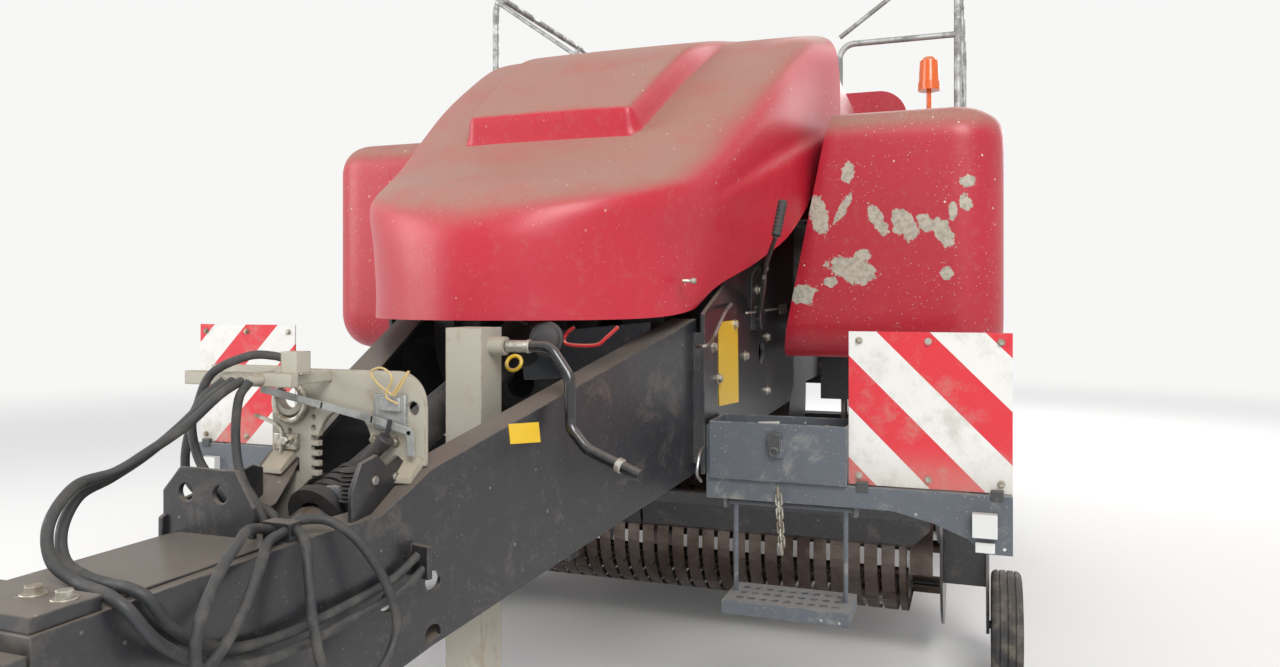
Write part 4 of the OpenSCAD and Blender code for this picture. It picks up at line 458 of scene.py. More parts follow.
def stripes():
    """Red and white bands at 45 degrees, falling outwards on both boards."""
    t = Tree("warning_stripes")
    side = t.math("ABSOLUTE", t.axis(t.co, "X"))
    across = t.math("ADD", side, t.axis(t.co, "Z"), clamp=False)
    run = t.math("SUBTRACT", across, BOARD_CORNER + 0.0745, clamp=False)
    band = t.math("GREATER_THAN", t.math("FRACT", t.math("DIVIDE", run, BAND_PERIOD)), 0.5)
    color = t.mix(band, (0.66, 0.65, 0.62), (0.58, 0.022, 0.035))
    cells = t.level(t.voronoi(150.0), 0.25, 0.55, 0.92, 1.0)
    color = t.mix(cells, t.mix(0.25, color, (0.3, 0.3, 0.3)), color)
    dirt = t.math("MULTIPLY", t.level(t.noise(11.0, 7.0, 0.74), 0.47, 0.72), 0.45)
    low = t.level(t.axis(t.co, "Z"), 1.06, 0.93, 0.0, 0.35)
    color = t.mix(t.math("ADD", dirt, low), color, (0.33, 0.29, 0.23))
    t.bump(t.noise(70.0, 3.0), 0.05, 0.001)
    return t.finish(color, t.level(dirt, 0.0, 0.5, 0.30, 0.6))


def lens(name, base, rough, dust, speck=0.3):
    return painted(name, base, tuple(c * 0.75 for c in base), rough, dust, speck)


RED_DUST = (0.300, 0.172, 0.132)
SHIELD_FRONT = -0.730
# Places where the left shield's paint has come off: x, z, half width, half height, lean in degrees
BARE_SPOTS = [
    (0.856, 1.890, 0.022, 0.034, 0), (0.752, 1.742, 0.036, 0.062, 20), (0.881, 1.545, 0.085, 0.042, -12),
    (0.706, 1.458, 0.042, 0.038, 0), (0.836, 1.757, 0.014, 0.055, -30), (0.959, 1.718, 0.022, 0.062, 24),
    (1.049, 1.702, 0.034, 0.052, 28), (1.115, 1.707, 0.020, 0.036, 40), (1.180, 1.661, 0.026, 0.052, 34),
    (1.251, 1.841, 0.026, 0.022, 0), (1.244, 1.767, 0.018, 0.034, 10), (1.206, 1.745, 0.014, 0.028, 0),
    (1.183, 1.535, 0.022, 0.020, 0), (0.801, 1.504, 0.022, 0.018, 0), (0.905, 1.595, 0.030, 0.020, 0)]
PEELED = [(x, SHIELD_FRONT, z, rx, rz, lean) for x, z, rx, rz, lean in BARE_SPOTS]
M = {
    "red": painted(
        "red_paint", (0.46, 0.010, 0.028), (0.37, 0.007, 0.021), 0.42, 0.90, 0.5, RED_DUST, 0.10,
        steep=(0.24, 0.84)),
    "red_shield": painted(
        "red_paint_patched", (0.43, 0.010, 0.027), (0.33, 0.007, 0.020), 0.42, 0.9, 1.0, RED_DUST, 0.12,
        steep=(0.10, 0.7), marks=PEELED, mark_color=(0.42, 0.385, 0.31)),
    "dropping": painted("bird_dropping", (0.26, 0.25, 0.19), (0.12, 0.12, 0.08), 0.9, 0.3, 0.2),
    "red_rear": painted(
        "red_paint_rear", (0.45, 0.010, 0.028), (0.33, 0.007, 0.020), 0.36, 0.9, 0.6, RED_DUST, 0.25,
        steep=(0.05, 0.7)),
    "frame": painted(
        "frame_charcoal", (0.022, 0.0225, 0.026), (0.012, 0.012, 0.014), 0.34, 0.72, 0.22,
        (0.155, 0.125, 0.098), 0.25, steep=(0.2, 0.9), wear=(0.12, 0.105, 0.09), splash=0.24),
    "gloss_black": painted(
        "gloss_black", (0.010, 0.010, 0.011), (0.006, 0.006, 0.007), 0.18, 0.5, 0.15,
        (0.14, 0.12, 0.10), 0.5, steep=(0.3, 0.95), wear=(0.12, 0.105, 0.09)),
    "blue_grey": painted(
        "blue_grey_paint", (0.105, 0.118, 0.136), (0.062, 0.070, 0.082), 0.5, 0.72, 0.6,
        (0.25, 0.235, 0.21), 0.1, steep=(0.2, 0.9), wear=(0.26, 0.25, 0.24), splash=0.62),
    "iron": painted(
        "dark_iron", (0.06, 0.06, 0.062), (0.03, 0.03, 0.031), 0.5, 0.6, 0.3,
        (0.16, 0.13, 0.1), 0.0, steep=(0.2, 0.9), wear=(0.16, 0.15, 0.14), splash=0.3),
    "cream": painted(
        "cream_paint", (0.46, 0.43, 0.355), (0.32, 0.295, 0.24), 0.55, 0.55, 0.25,
        (0.30, 0.235, 0.16), 0.0, steep=(0.2, 0.9), wear=(0.20, 0.13, 0.08), splash=0.55),
    "strip": steel("crop_polished_steel", (0.135, 0.108, 0.095), (0.070, 0.048, 0.040), 0.20, 0.92, 3.0),
    "steel": steel("worn_steel", (0.34, 0.33, 0.32), (0.13, 0.09, 0.065), 0.35, 0.85),
    "galv": steel("galvanised", (0.42, 0.43, 0.42), (0.25, 0.25, 0.24), 0.45, 0.6, 14.0),
    "zinc": steel("zinc_plated", (0.52, 0.50, 0.44), (0.28, 0.24, 0.18), 0.3, 0.8, 30.0),
    "plastic": rubber("black_plastic", (0.020, 0.020, 0.021), (0.12, 0.1, 0.085), 0.45, 0.42),
    "hose": rubber("hose_rubber", (0.024, 0.025, 0.027), (0.115, 0.105, 0.09), 0.6, 0.5, 16.0),
    "tyre": rubber("tyre_rubber", (0.026, 0.026, 0.027), (0.17, 0.145, 0.115), 0.75, 0.6, 11.0),
    "rim": painted(
        "rim_paint", (0.62, 0.6, 0.54), (0.45, 0.43, 0.38), 0.5, 0.5, 0.4,
        (0.4, 0.34, 0.26), 0.1, steep=(0.1, 0.9), wear=(0.25, 0.16, 0.1), splash=0.4),
    "white_lens": lens("white_lens", (0.70, 0.70, 0.68), 0.22, 0.4),
    "orange": lens("orange_lens", (0.85, 0.14, 0.012), 0.16, 0.3, 0.2),
    "red_lens": lens("red_lens", (0.42, 0.010, 0.012), 0.18, 0.4, 0.2),
    "yellow": painted("yellow_label", (0.78, 0.50, 0.02), (0.66, 0.41, 0.018), 0.42, 0.4, 0.45, splash=0.25),
    "red_handle": painted("red_handle", (0.52, 0.020, 0.024), (0.4, 0.012, 0.016), 0.35, 0.4, 0.3),
    "paper": painted("paper", (0.66, 0.65, 0.61), (0.5, 0.49, 0.45), 0.8, 0.5, 0.2),
    "straw": painted("straw_twine", (0.58, 0.42, 0.16), (0.42, 0.3, 0.12), 0.85, 0.5, 0.2),
    "stripes": stripes(),
}

LOOK = {
    "red_rear": ["side_cover_left", "side_cover_right", "knotter_cover", "top_cover", "twine_box_left",
                 "twine_box_right"],
    "red_shield": ["front_shield_left", "front_shield_right"],
    "red": ["hood"],
    "frame": ["tongue", "side_plates", "feed_duct", "bale_chamber", "axle", "rear_ladder", "pickup_frame",
              "windguard"],
    "gloss_black": ["jack_crank"],
    "blue_grey": ["cross_beams", "toolbox", "folding_step", "chute"],
    "iron": ["hitch_ring", "flywheel", "gearbox", "knotters"],
    "cream": ["jack_tube", "jack_leg", "notch_plate"],
    "strip": ["stripper_bands", "tine_reel"],
    "steel": ["needle_yoke", "chute_rollers", "plunger", "drive_shaft"],
    "galv": ["handrail_left", "handrail_right"],
    "plastic": ["shaft_guard", "brake_lever"],
    "tyre": ["tyre_left", "tyre_right", "gauge_wheel_left", "gauge_wheel_right"],
    "rim": ["wheel_left", "wheel_right"],
    "hose": ["hose_inner", "hose_outer", "hose_arch", "hose_middle", "hose_lower", "hose_front", "hose_side"],
    "white_lens": ["marker_lamps"],
    "orange": ["beacon"],
    "red_lens": ["rear_lamps"],
    "stripes": ["warning_boards"],
}
for key, names in LOOK.items():
    for node_name in names:
        for slot in NODES[node_name].material_slots:
            slot.link = "OBJECT"
            slot.material = M[key]

# Hoses: the same routes as in the part's source, in millimetres
HOSE_D = 0.018
ROUTES = {
    "hose_inner": [
        (-143, -2545, 1276), (-146, -2600, 1248), (-146, -2680, 1196), (-138, -2760, 1158), (-128, -2840, 1132),
        (-108, -2915, 1118), (-80, -2968, 1078), (-48, -2988, 1035), (10, -2996, 1018), (74, -3010, 1018),
        (120, -3022, 1021), (151, -3014, 1006), (158, -2976, 950), (156, -2910, 905), (156, -2850, 878),
        (158, -2740, 862), (172, -2600, 868), (200, -2490, 890), (221, -2430, 925)],
    "hose_outer": [
        (-121, -2545, 1276), (-122, -2602, 1252), (-122, -2684, 1202), (-116, -2768, 1170), (-104, -2850, 1146),
        (-86, -2940, 1140), (-64, -3002, 1096), (-34, -3022, 1046), (20, -3024, 1020), (74, -3040, 1020),
        (120, -3054, 1020), (156, -3052, 1002), (172, -3020, 950), (175, -2950, 895), (174, -2850, 852),
        (174, -2740, 838), (188, -2600, 845), (216, -2490, 866), (236, -2430, 900)],
    "hose_arch": [
        (-60, -2482, 1316), (-92, -2486, 1324), (-132, -2516, 1324), (-196, -2548, 1288), (-224, -2560, 1215),
        (-238, -2572, 1140), (-232, -2576, 1082), (-204, -2568, 1046), (-150, -2560, 1033), (-90, -2558, 1032),
        (-36, -2560, 1020), (2, -2572, 985), (14, -2585, 930), (22, -2612, 860), (32, -2660, 780),
        (36, -2720, 706), (36, -2800, 677)],
    "hose_middle": [
        (-99, -2545, 1276), (-112, -2562, 1240), (-110, -2572, 1160), (-84, -2584, 1090), (-36, -2592, 1036),
        (-14, -2594, 990), (-8, -2597, 930), (-4, -2614, 865), (2, -2655, 782), (5, -2720, 704),
        (5, -2800, 677)],
    "hose_lower": [
        (-165, -2545, 1276), (-192, -2576, 1240), (-200, -2595, 1190), (-162, -2610, 1118), (-94, -2618, 1064),
        (-45, -2614, 1008), (-37, -2610, 955), (-33, -2620, 880), (-28, -2660, 788), (-26, -2722, 704),
        (-26, -2800, 677)],
    "hose_front": [
        (84, -2690, 1024), (96, -2740, 1040), (130, -2800, 1052), (172, -2862, 1052), (200, -2930, 1026),
        (213, -2978, 975), (214, -2990, 925), (206, -2972, 893), (196, -2925, 902), (186, -2866, 946),
        (160, -2800, 1000), (126, -2745, 1020), (113, -2690, 1024)],
    "hose_side": [
        (100, -2660, 1024), (112, -2640, 1034), (160, -2620, 1030), (208, -2595, 985), (240, -2560, 900),
        (252, -2548, 820), (250, -2590, 762), (234, -2650, 748), (212, -2702, 792), (196, -2712, 870),
        (182, -2708, 950), (160, -2692, 1010), (125, -2672, 1024)],
}
for name, route in ROUTES.items():
    path = through(np.array(route) / 1000.0, 9)
    piece = Build().tube(path, HOSE_D, 14).object("free_" + name, "hose", "frame", "black_plastic")
    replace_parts(piece, name)

# Hood. Each row: y and z in the middle, half width, y and z at the lower edge, squareness of the plan
HOOD = np.array([
    [-1.950, 1.387, 0.500, -1.430, 1.420, 1.75],
    [-1.947, 1.460, 0.511, -1.381, 1.448, 1.80],
    [-1.942, 1.545, 0.522, -1.331, 1.474, 1.90],
    [-1.928, 1.625, 0.536, -1.274, 1.498, 2.05],
    [-1.880, 1.695, 0.553, -1.204, 1.521, 2.40],
    [-1.780, 1.748, 0.566, -1.150, 1.538, 2.90],
    [-1.620, 1.810, 0.580, -1.100, 1.556, 3.50],
    [-1.455, 1.890, 0.604, -1.010, 1.595, 4.00],
    [-1.257, 2.021, 0.636, -0.894, 1.649, 4.10],
    [-1.059, 2.155, 0.662, -0.779, 1.721, 3.90],
    [-0.828, 2.294, 0.688, -0.647, 1.821, 3.30],
    [-0.564, 2.422, 0.721, -0.490, 1.999, 2.90],
    [-0.300, 2.500, 0.765, -0.300, 2.077, 2.80]])
HOOD_FRONT, HOOD_REAR, HOOD_LOW = HOOD[0][0], HOOD[-1][0], HOOD[0][1]
HOOD_DROP = 4.0
CROWN_Y, CROWN_H, CROWN_X, CROWN_SPREAD = -1.375, 0.075, 0.300, 0.12
PANEL_T = 0.007


def smooth(a, b, x):
    """Soft step from 0 at a to 1 at b."""
    s = np.clip((x - a) / (b - a), 0.0, 1.0)
    return s * s * (3.0 - 2.0 * s)


def hood_dense(rows, cols):
    """The hood's surface, front to rear and middle to edge, with the ledge along its side."""
    r = through(HOOD, rows)
    a = np.linspace(0.0, 1.0, cols) ** 1.2 * math.pi / 2
    mid_y, mid_z, half, edge_y, edge_z, square = (r[:, i][:, None] for i in range(6))
    s = np.sin(a)[None, :] ** (2 / square)
    c = 1 - np.maximum(np.cos(a), 0.0)[None, :] ** (2 / square)
    y = mid_y + (edge_y - mid_y) * c
    z = mid_z + (edge_z - mid_z) * c ** HOOD_DROP
    amount = smooth(HOOD_FRONT + 0.39, HOOD_FRONT + 1.2, y)
    line = HOOD_LOW + 0.308 + 0.325 * (y - HOOD_FRONT - 0.44)
    depth = 0.030 - 0.014 * smooth(HOOD_FRONT + 0.9, HOOD_REAR, y)
    below = 1 - smooth(line, line + 0.016 + 0.045 * amount, z)
    ledge = depth * amount * smooth(0.78, 0.95, s) * below
    return np.stack([half * s + ledge, y, z], -1)


def spread(curve, split, before, after, crowd=0.55):
    """One curve of points, resampled in two stretches that meet where split says, closer together there."""
    steps = np.linalg.norm(np.diff(curve, axis=0), axis=1)
    run = np.concatenate([[0.0], np.cumsum(steps)])
    k = int(np.argmax(split > 0)) if (split > 0).any() else len(split) - 1
    k = max(k, 1)
    f = split[k - 1] / (split[k - 1] - split[k] + 1e-12)
    mid = run[k - 1] + np.clip(f, 0, 1) * (run[k] - run[k - 1])
    u = np.linspace(0.0, 1.0, before + 1)
    v = np.linspace(0.0, 1.0, after + 1)
    first = mid * (1 - (1 - u) ** (1 + crowd))
    second = mid + (run[-1] - mid) * v ** (1 + crowd)
    want = np.concatenate([first, second[1:]])
    return np.stack([np.interp(want, run, curve[:, i]) for i in range(3)], -1)


def crown_half(y):
    """Half width of the crown."""
    return CROWN_X + (y - CROWN_Y) * CROWN_SPREAD


def hood_surface():
    """Both halves of the hood, with grid lines along the crown's border."""
    g = hood_dense(30, 420)
    rows = np.array([spread(c, c[:, 0] - crown_half(c[:, 1]), 34, 58) for c in g])
    cols = [spread(rows[:, j], rows[:, j, 1] - CROWN_Y, 78, 92) for j in range(rows.shape[1])]
    g = np.stack(cols, 1)
    return np.concatenate([g[:, :0:-1] * np.array([-1.0, 1.0, 1.0]), g], 1)


def grid_normals(g):
    n = np.cross(np.gradient(g, axis=1), np.gradient(g, axis=0))
    n /= np.maximum(np.linalg.norm(n, axis=-1, keepdims=True), 1e-9)
    return n


def upward_normals(g):
    n = grid_normals(g)
    return -n if n[n.shape[0] // 2, n.shape[1] // 2, 2] < 0 else n


def raise_crown(g):
    """Lifts the crown out of the surface: steep in front, soft at its sides, fading to the rear."""
    x, y = np.abs(g[..., 0]), g[..., 1]
    front = np.clip((y - CROWN_Y) / 0.046, 0, 1)
    front = 0.75 * front + 0.25 * front * front * (3 - 2 * front)
    side = 1 - smooth(-0.040, 0.004, x - crown_half(y))
    fade = 1 - smooth(-0.955, -0.425, y)
    rise = CROWN_H * front * side * fade * (y > CROWN_Y - 0.001)
    return g + upward_normals(g) * rise[..., None]


def sheet_faces(rows, cols, far_edge):
    """Faces of a grid's two skins and of the strips that close its edges."""
    k = rows * cols
    faces = []
    for i in range(rows - 1):
        for j in range(cols - 1):
            a = i * cols + j
            b, c, d = a + 1, a + cols + 1, a + cols
            faces += [(a, b, c, d), (d + k, c + k, b + k, a + k)]
    edge = [(j, j + 1) for j in range(cols - 1)]
    if far_edge:
        last = (rows - 1) * cols
        edge += [(last + j + 1, last + j) for j in range(cols - 1)]
    edge += [((i + 1) * cols, i * cols) for i in range(rows - 1)]
    edge += [(i * cols + cols - 1, (i + 1) * cols + cols - 1) for i in range(rows - 1)]
    return faces + [(b, a, a + k, b + k) for a, b in edge]


def two_skins(outer, inner):
    return np.concatenate([outer.reshape(-1, 3), inner.reshape(-1, 3)])


surface = raise_crown(hood_surface())
panel = Build().add(two_skins(surface, surface - upward_normals(surface) * PANEL_T).tolist(),
                    sheet_faces(*surface.shape[:2], far_edge=True))
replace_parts(panel.object("hood_panel", "red", "hood", "red_paint", angle=50.0), "hood")

# Hinge lugs under the rear edge, each round the pin that the top cover carries
PIN_Y, PIN_Z, LUG_X, LUG_W, LUG_R, LUG_FRONT = -0.288, 2.434, 0.362, 0.036, 0.016, -0.478


def hood_height(x, y):
    """Height of the hood's outer face over a place in plan, near its rear."""
    d = (surface[..., 0] - x) ** 2 + (surface[..., 1] - y) ** 2
    return float(surface[np.unravel_index(np.argmin(d), d.shape)][2])


def hinge_lugs():
    turn = np.radians(np.arange(-100, 61, 20))
    arc = [(PIN_Y + LUG_R * math.cos(a), PIN_Z + LUG_R * math.sin(a)) for a in turn]
    places = (-0.304, -0.35, -0.40, -0.44, LUG_FRONT)
    top_line = [(y, hood_height(LUG_X + LUG_W / 2, y) - 0.006) for y in places]
    outline = [(LUG_FRONT, PIN_Z - 0.052)] + arc + top_line
    lug = Build().plate(outline, (LUG_X, 0, 0), (0, 1, 0), (0, 0, 1), LUG_W)
    lug.mirrored().object("hood_lugs", "frame", "hood", "dark_frame", 0.002)


def on_hood(px, py):
    """The hood's grid point that lies nearest under a pixel of the photo, and the normal there."""
    x, y, z = surface[..., 0] - CAM_X, surface[..., 1] - CAM_Y, surface[..., 2] - CAM_Z
    d = y * math.cos(YAW) - x * math.sin(YAW)
    u = x * math.cos(YAW) + y * math.sin(YAW)
    off = (MIDDLE + FOCAL * u / d - px) ** 2 + (HORIZON - z * FOCAL / d - py) ** 2 + 40 * (d - d.min())
    k = np.unravel_index(np.argmin(off), off.shape)
    n = grid_normals(surface)[k]
    return Vector(surface[k]), Vector(n if n[2] > 0 else -n)


def bird_droppings():
    """Each one is a large splash and three small ones beside it, given in shares of its radius."""
    splashes = ((0, 0, 1.0), (0.9, 0.3, 0.5), (-0.7, 0.6, 0.6), (0.2, -0.9, 0.45))
    spots = Build()
    for px, py, r in DROPPINGS:
        p, n = on_hood(px, py)
        for dx, dy, k in splashes:
            q = p + Vector((dx * r, dy * r * n.z, -dy * r * n.y))
            spots.lathe(q - n * 0.0015, n, [(0, r * k), (0.0025, r * k * 0.9), (0.0045, r * k * 0.45)], 9)
    spots.object("bird_droppings", "dropping", "hood", "board")


def hood_latch():
    foot = on_side(*HOOD_LATCH, 0.505)
    knob = foot + Vector((0.03, -0.02, 0))
    latch = Build().cyl(foot, foot + Vector((0.012, -0.03, 0.0)), 0.010, 12)
    latch.cyl(foot + Vector((0.006, -0.028, 0)), knob, 0.010, 12)
    latch.lathe(knob, (1, 0.3, 0), [(0, 0.0075), (0.004, 0.009), (0.012, 0.009), (0.015, 0.005)], 14)
    latch.object("hood_latch", "zinc", "hood", "worn_steel")


hinge_lugs()
bird_droppings()
hood_latch()

# Front shields
SHIELD_REAR, SHIELD_LOW, SHIELD_TOP, SHIELD_X = 0.250, 1.230, 2.115, 1.370
SHIELD_IN_LOW, SHIELD_IN_TOP = 0.615, 0.792
SHIELD_ROUND = 0.17


def shield_profile(front, updown, n=12):
    """Side outline at one station: rear low, round the bottom, up the front, over the top to the rear."""
    y0, z0, z1 = SHIELD_FRONT + front, SHIELD_LOW + updown, SHIELD_TOP - updown
    rb = max(0.15 - 0.7 * updown, 0.05)
    rt = max(0.12 - 0.6 * updown, 0.04)
    turn = np.linspace(0, math.pi / 2, n)
    p = [(y, z0) for y in np.linspace(SHIELD_REAR, y0 + rb, 14)[:-1]]
    p += [(y0 + rb - rb * math.sin(a), z0 + rb - rb * math.cos(a)) for a in turn]
    p += [(y0, z) for z in np.linspace(z0 + rb, z1 - rt, 26)[1:-1]]
    p += [(y0 + rt - rt * math.cos(a), z1 - rt + rt * math.sin(a)) for a in turn]
    p += [(y, z1) for y in np.linspace(y0 + rt, SHIELD_REAR, 14)[1:]]
    return np.array(p)


def shield_grid():
    """Left shield from its inner edge across the front, round the corner and back along its side."""
    rows = []
    flat = SHIELD_X - SHIELD_ROUND
    base_y, base_z = shield_profile(0, 0).T
    x_in = SHIELD_IN_LOW + (SHIELD_IN_TOP - SHIELD_IN_LOW) * (base_z - SHIELD_LOW) / (SHIELD_TOP - SHIELD_LOW)
    for s in np.linspace(0, 1, 22):
        lip = 0.006 * (1 - smooth(0.0, 0.05, s))
        y = base_y + lip * (base_y < SHIELD_FRONT + 0.05)
        rows.append(np.stack([x_in + s * (flat - x_in), y, base_z], -1))
    for a in np.linspace(0, math.pi / 2, 14)[1:]:
        p = shield_profile(SHIELD_ROUND * (1 - math.cos(a)), SHIELD_ROUND / 2 * (1 - math.cos(a)))
        x = np.full(len(p), flat + SHIELD_ROUND * math.sin(a))
        rows.append(np.stack([x, p[:, 0], p[:, 1]], -1))
    x, y, z = rows[-1].T
    for s in np.linspace(0, 1, 9)[1:]:
        rows.append(np.stack([x, y + (SHIELD_REAR - y) * s, z], -1))
    return np.array(rows)


def shield(side, sign):
    g = shield_grid()
    n = grid_normals(g)
    if n[10, 38, 1] > 0:
        n = -n
    inner = g - n * PANEL_T
    inner[..., 1] = np.minimum(inner[..., 1], SHIELD_REAR)
    skins = two_skins(g, inner) * np.array([sign, 1.0, 1.0])
    b = Build().add(skins.tolist(), sheet_faces(*g.shape[:2], far_edge=False))
    for z in (SHIELD_LOW + 0.170, SHIELD_TOP - 0.230):
        pin = (sign * (SHIELD_X - 0.020), SHIELD_REAR - 0.020, z)
        b.lathe(pin, (0, 0, 1), [(0, 0.013), (0.002, 0.015), (0.058, 0.015), (0.060, 0.013)], 24)
    body = "front_shield_" + side
    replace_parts(b.object("shield_panel_" + side, "red_shield", body, "red_paint", angle=50.0), body)


shield("left", 1)
shield("right", -1)

# Fittings at the front, from the notched plate to the toolbox
PLATE_Y = -2.370
OUT = Vector((0, -1, 0))
ACROSS, AHEAD, UP = (1, 0, 0), (0, 1, 0), (0, 0, 1)


def plate_fittings():
    """Notched plate: guide ring, lock plate, bent rod, connector plate, strap and clamp channel."""
    fit = Build().ring(seen("guide_ring", PLATE_Y - 0.009), OUT, 0.041, 0.0075, 36, 10)
    fit.tube(seen("bent_rod", PLATE_Y - 0.018), 0.009, 10, 4)
    fit.block(seen("lock_plate", PLATE_Y - 0.006), (0.062, 0.012, 0.034), ACROSS, UP)
    fit.hexbolt(seen("lock_bolt", PLATE_Y - 0.012), OUT, 0.018)
    for place in seen("card_bolts", PLATE_Y):
        fit.hexbolt(place, OUT, 0.016)
    fit.object("plate_fittings", "zinc", "frame", "worn_steel", 0.001)
    card = Build().block(seen("card", PLATE_Y - 0.006), (0.078, 0.012, 0.074), ACROSS, UP)
    card.block(seen("socket", PLATE_Y - 0.016), (0.050, 0.014, 0.030), ACROSS, UP)
    card.object("connector_plate", "galv", "frame", "galvanised", 0.002)
    strap = Build()
    run = seen("strap", PLATE_Y - 0.022)
    for a, b in zip(run, run[1:]):
        strap.block((a + b) / 2, (0.016, 0.004, (b - a).length + 0.006), OUT.cross(b - a), b - a)
    strap.object("strap", "galv", "frame", "galvanised", 0.001)
    a, b = seen("channel", PLATE_Y - 0.012)
    channel = Build().block((a + b) / 2, ((b - a).length, 0.018, 0.040), ACROSS, UP)
    channel.object("clamp_channel", "cream", "frame", "cream_paint", 0.002)


def plug_and_twine():
    plug = Build().tube(seen("plug_lead", PLATE_Y - 0.03), 0.010, 10, 4)
    plug.cyl(at(*PLUG_FRONT, PLATE_Y - 0.032), at(*PLUG_BACK, PLATE_Y - 0.040), 0.030, 18)
    plug.cyl(*seen("plug_collar", PLATE_Y - 0.032), 0.036, 18)
    plug.tube(seen("thin_cable", PLATE_Y - 0.04), 0.008, 8, 4)
    plug.object("cable_plug", "plastic", "frame", "black_plastic")
    bow = Build().tube(seen("bow_loop", PLATE_Y - 0.030), 0.005, 7, 5)
    bow.tube(seen("bow_end", PLATE_Y - 0.031), 0.005, 7, 5)
    bow.object("twine_bow", "straw", "frame", "board")


def flange_and_bellows():
    """Flange with its horn and ribbed bellows, at the plate's lower end."""
    hub = seen("flange", PLATE_Y - 0.004)
    rim = [(0, 0.076), (0.014, 0.076), (0.016, 0.073), (0.017, 0.046), (0.030, 0.043), (0.031, 0.030)]
    flange = Build().lathe(hub, OUT, rim, 40)
    horn = [hub + OUT * 0.02, hub + OUT * 0.05 + Vector((-0.02, 0, -0.008)),
            at(*HORN_BEND, PLATE_Y - 0.09), at(*HORN_END, PLATE_Y - 0.10)]
    flange.tube(horn, 0.030, 14, 5, 0.046)
    flange.object("cable_flange", "blue_grey", "frame", "blue_grey_paint", 0.001)
    bolts = Build()
    for place in seen("flange_bolts", PLATE_Y - 0.020):
        bolts.hexbolt(place, OUT, 0.014)
    bolts.object("flange_bolts", "zinc", "frame", "worn_steel")
    low, top = seen("bellows", PLATE_Y - 0.030)
    pitch = 0.0045
    ribs = [(i * pitch, 0.020 if i % 2 else 0.027) for i in range(int((top - low).length / pitch) + 1)]
    Build().lathe(low, top - low, ribs, 28).object("bellows", "plastic", "frame", "black_plastic")


def beam_ears():
    """Plates standing on the tongue's beams, with their pins."""
    right = [(-2.72, 0.985), (-2.46, 1.000), (-2.46, 1.086), (-2.49, 1.096), (-2.56, 1.078), (-2.66, 1.062),
             (-2.72, 1.036)]
    left = [(-2.55, 1.000), (-2.36, 1.035), (-2.36, 1.090), (-2.40, 1.118), (-2.44, 1.105), (-2.47, 1.130),
            (-2.52, 1.120), (-2.55, 1.070)]
    ear = Build().plate(right, (-0.152, 0, 0), AHEAD, UP, 0.010)
    ear.plate(left, (0.142, 0, 0), AHEAD, UP, 0.010)
    ear.object("beam_ears", "frame", "frame", "dark_frame", 0.0015)
    pins = Build()
    places = ((-0.148, -2.66, 1.036), (-0.148, -2.52, 1.050), (0.148, -2.48, 1.080), (0.148, -2.41, 1.075))
    for x, y, z in places:
        pins.cyl((x - 0.010, y, z), (x + 0.010, y, z), 0.020, 18)
    pins.object("ear_pins", "steel", "frame", "worn_steel")


def crank_end():
    """Bare end of the jack's crank, and the ring at its handle."""
    crank_y, crank_z = -2.010, 1.327
    crank = Build().cyl((0.196, crank_y, crank_z), (0.252, crank_y, crank_z), 0.030, 24)
    crank.cyl((0.252, crank_y, crank_z), (0.262, crank_y, crank_z), 0.034, 24)
    ring = [(0, 0.0145), (0.003, 0.0175), (0.014, 0.0175), (0.017, 0.0145)]
    crank.lathe((0.505, -2.056, 1.064), (0.140, -0.020, -0.050), ring, 24)
    crank.object("crank_end", "zinc", "frame", "worn_steel")


def under_hood():
    """What shows under the hood's front edge."""
    cap = [(0, 0.046), (0.008, 0.046), (0.012, 0.040), (0.020, 0.037), (0.026, 0.028), (0.030, 0.012)]
    shown = Build().lathe(seen("guard_cap", -1.86), (0.1, -1, 0.1), cap, 32)
    shown.object("guard_cap", "plastic", "frame", "black_plastic")
    shown = Build().ring(seen("guard_ring", -1.93), (0.05, -1, 0.5), 0.020, 0.005, 24, 8)
    shown.object("guard_ring", "yellow", "frame", "board")
    shown = Build().slab(seen("inner_panel", -1.48), (0, 0, 0), (0, 0.006, 0))
    shown.object("inner_panel", "blue_grey", "frame", "blue_grey_paint", 0.001)
    shown = Build().tube(seen("pull_handle", -1.80), 0.010, 10, 5)
    shown.object("pull_handle", "red_handle", "frame", "red_paint")


def labels():
    """Blank labels on the left beam and the left side plate."""
    out = Vector((1, -0.31, 0)).normalized()
    on_beam = [on_side(px, py, BEAM_X, BEAM_Y, BEAM_SLOPE) for px, py in BEAM_LABEL]
    label = Build().slab(on_beam, out * 0.0004, out * 0.0022)
    label.slab([on_side(px, py, SIDE_X) for px, py in SIDE_LABEL], (0.0004, 0, 0), (0.0024, 0, 0))
    label.object("labels_yellow", "yellow", "frame", "board")


def rods_and_tag():
    """Grab rod and hook rod on the left side plate, and the sprung tag beside the lever."""
    rods = Build().tube([on_side(px, py, SIDE_X + off) for px, py, off in GRAB_ROD], 0.012, 12, 5)
    rods.tube([on_side(px, py, SIDE_X + off) for px, py, off in HOOK_ROD], 0.009, 10, 5)
    rods.object("grab_rod", "steel", "frame", "worn_steel")
    tag = Build().cyl(on_side(*TAG_ROD_A, SIDE_X + 0.022), on_side(*TAG_ROD_B, SIDE_X + 0.030), 0.008, 12)
    tag.block(on_side(*TAG, SIDE_X + 0.030), (0.050, 0.036, 0.006), (0, 1, 0.1), (1, -0.4, 0))
    for px, py in LEVER_BOLTS:
        tag.hexbolt(on_side(px, py, SIDE_X + 0.010), ACROSS, 0.020)
    tag.object("lever_tag", "zinc", "frame", "worn_steel", 0.001)


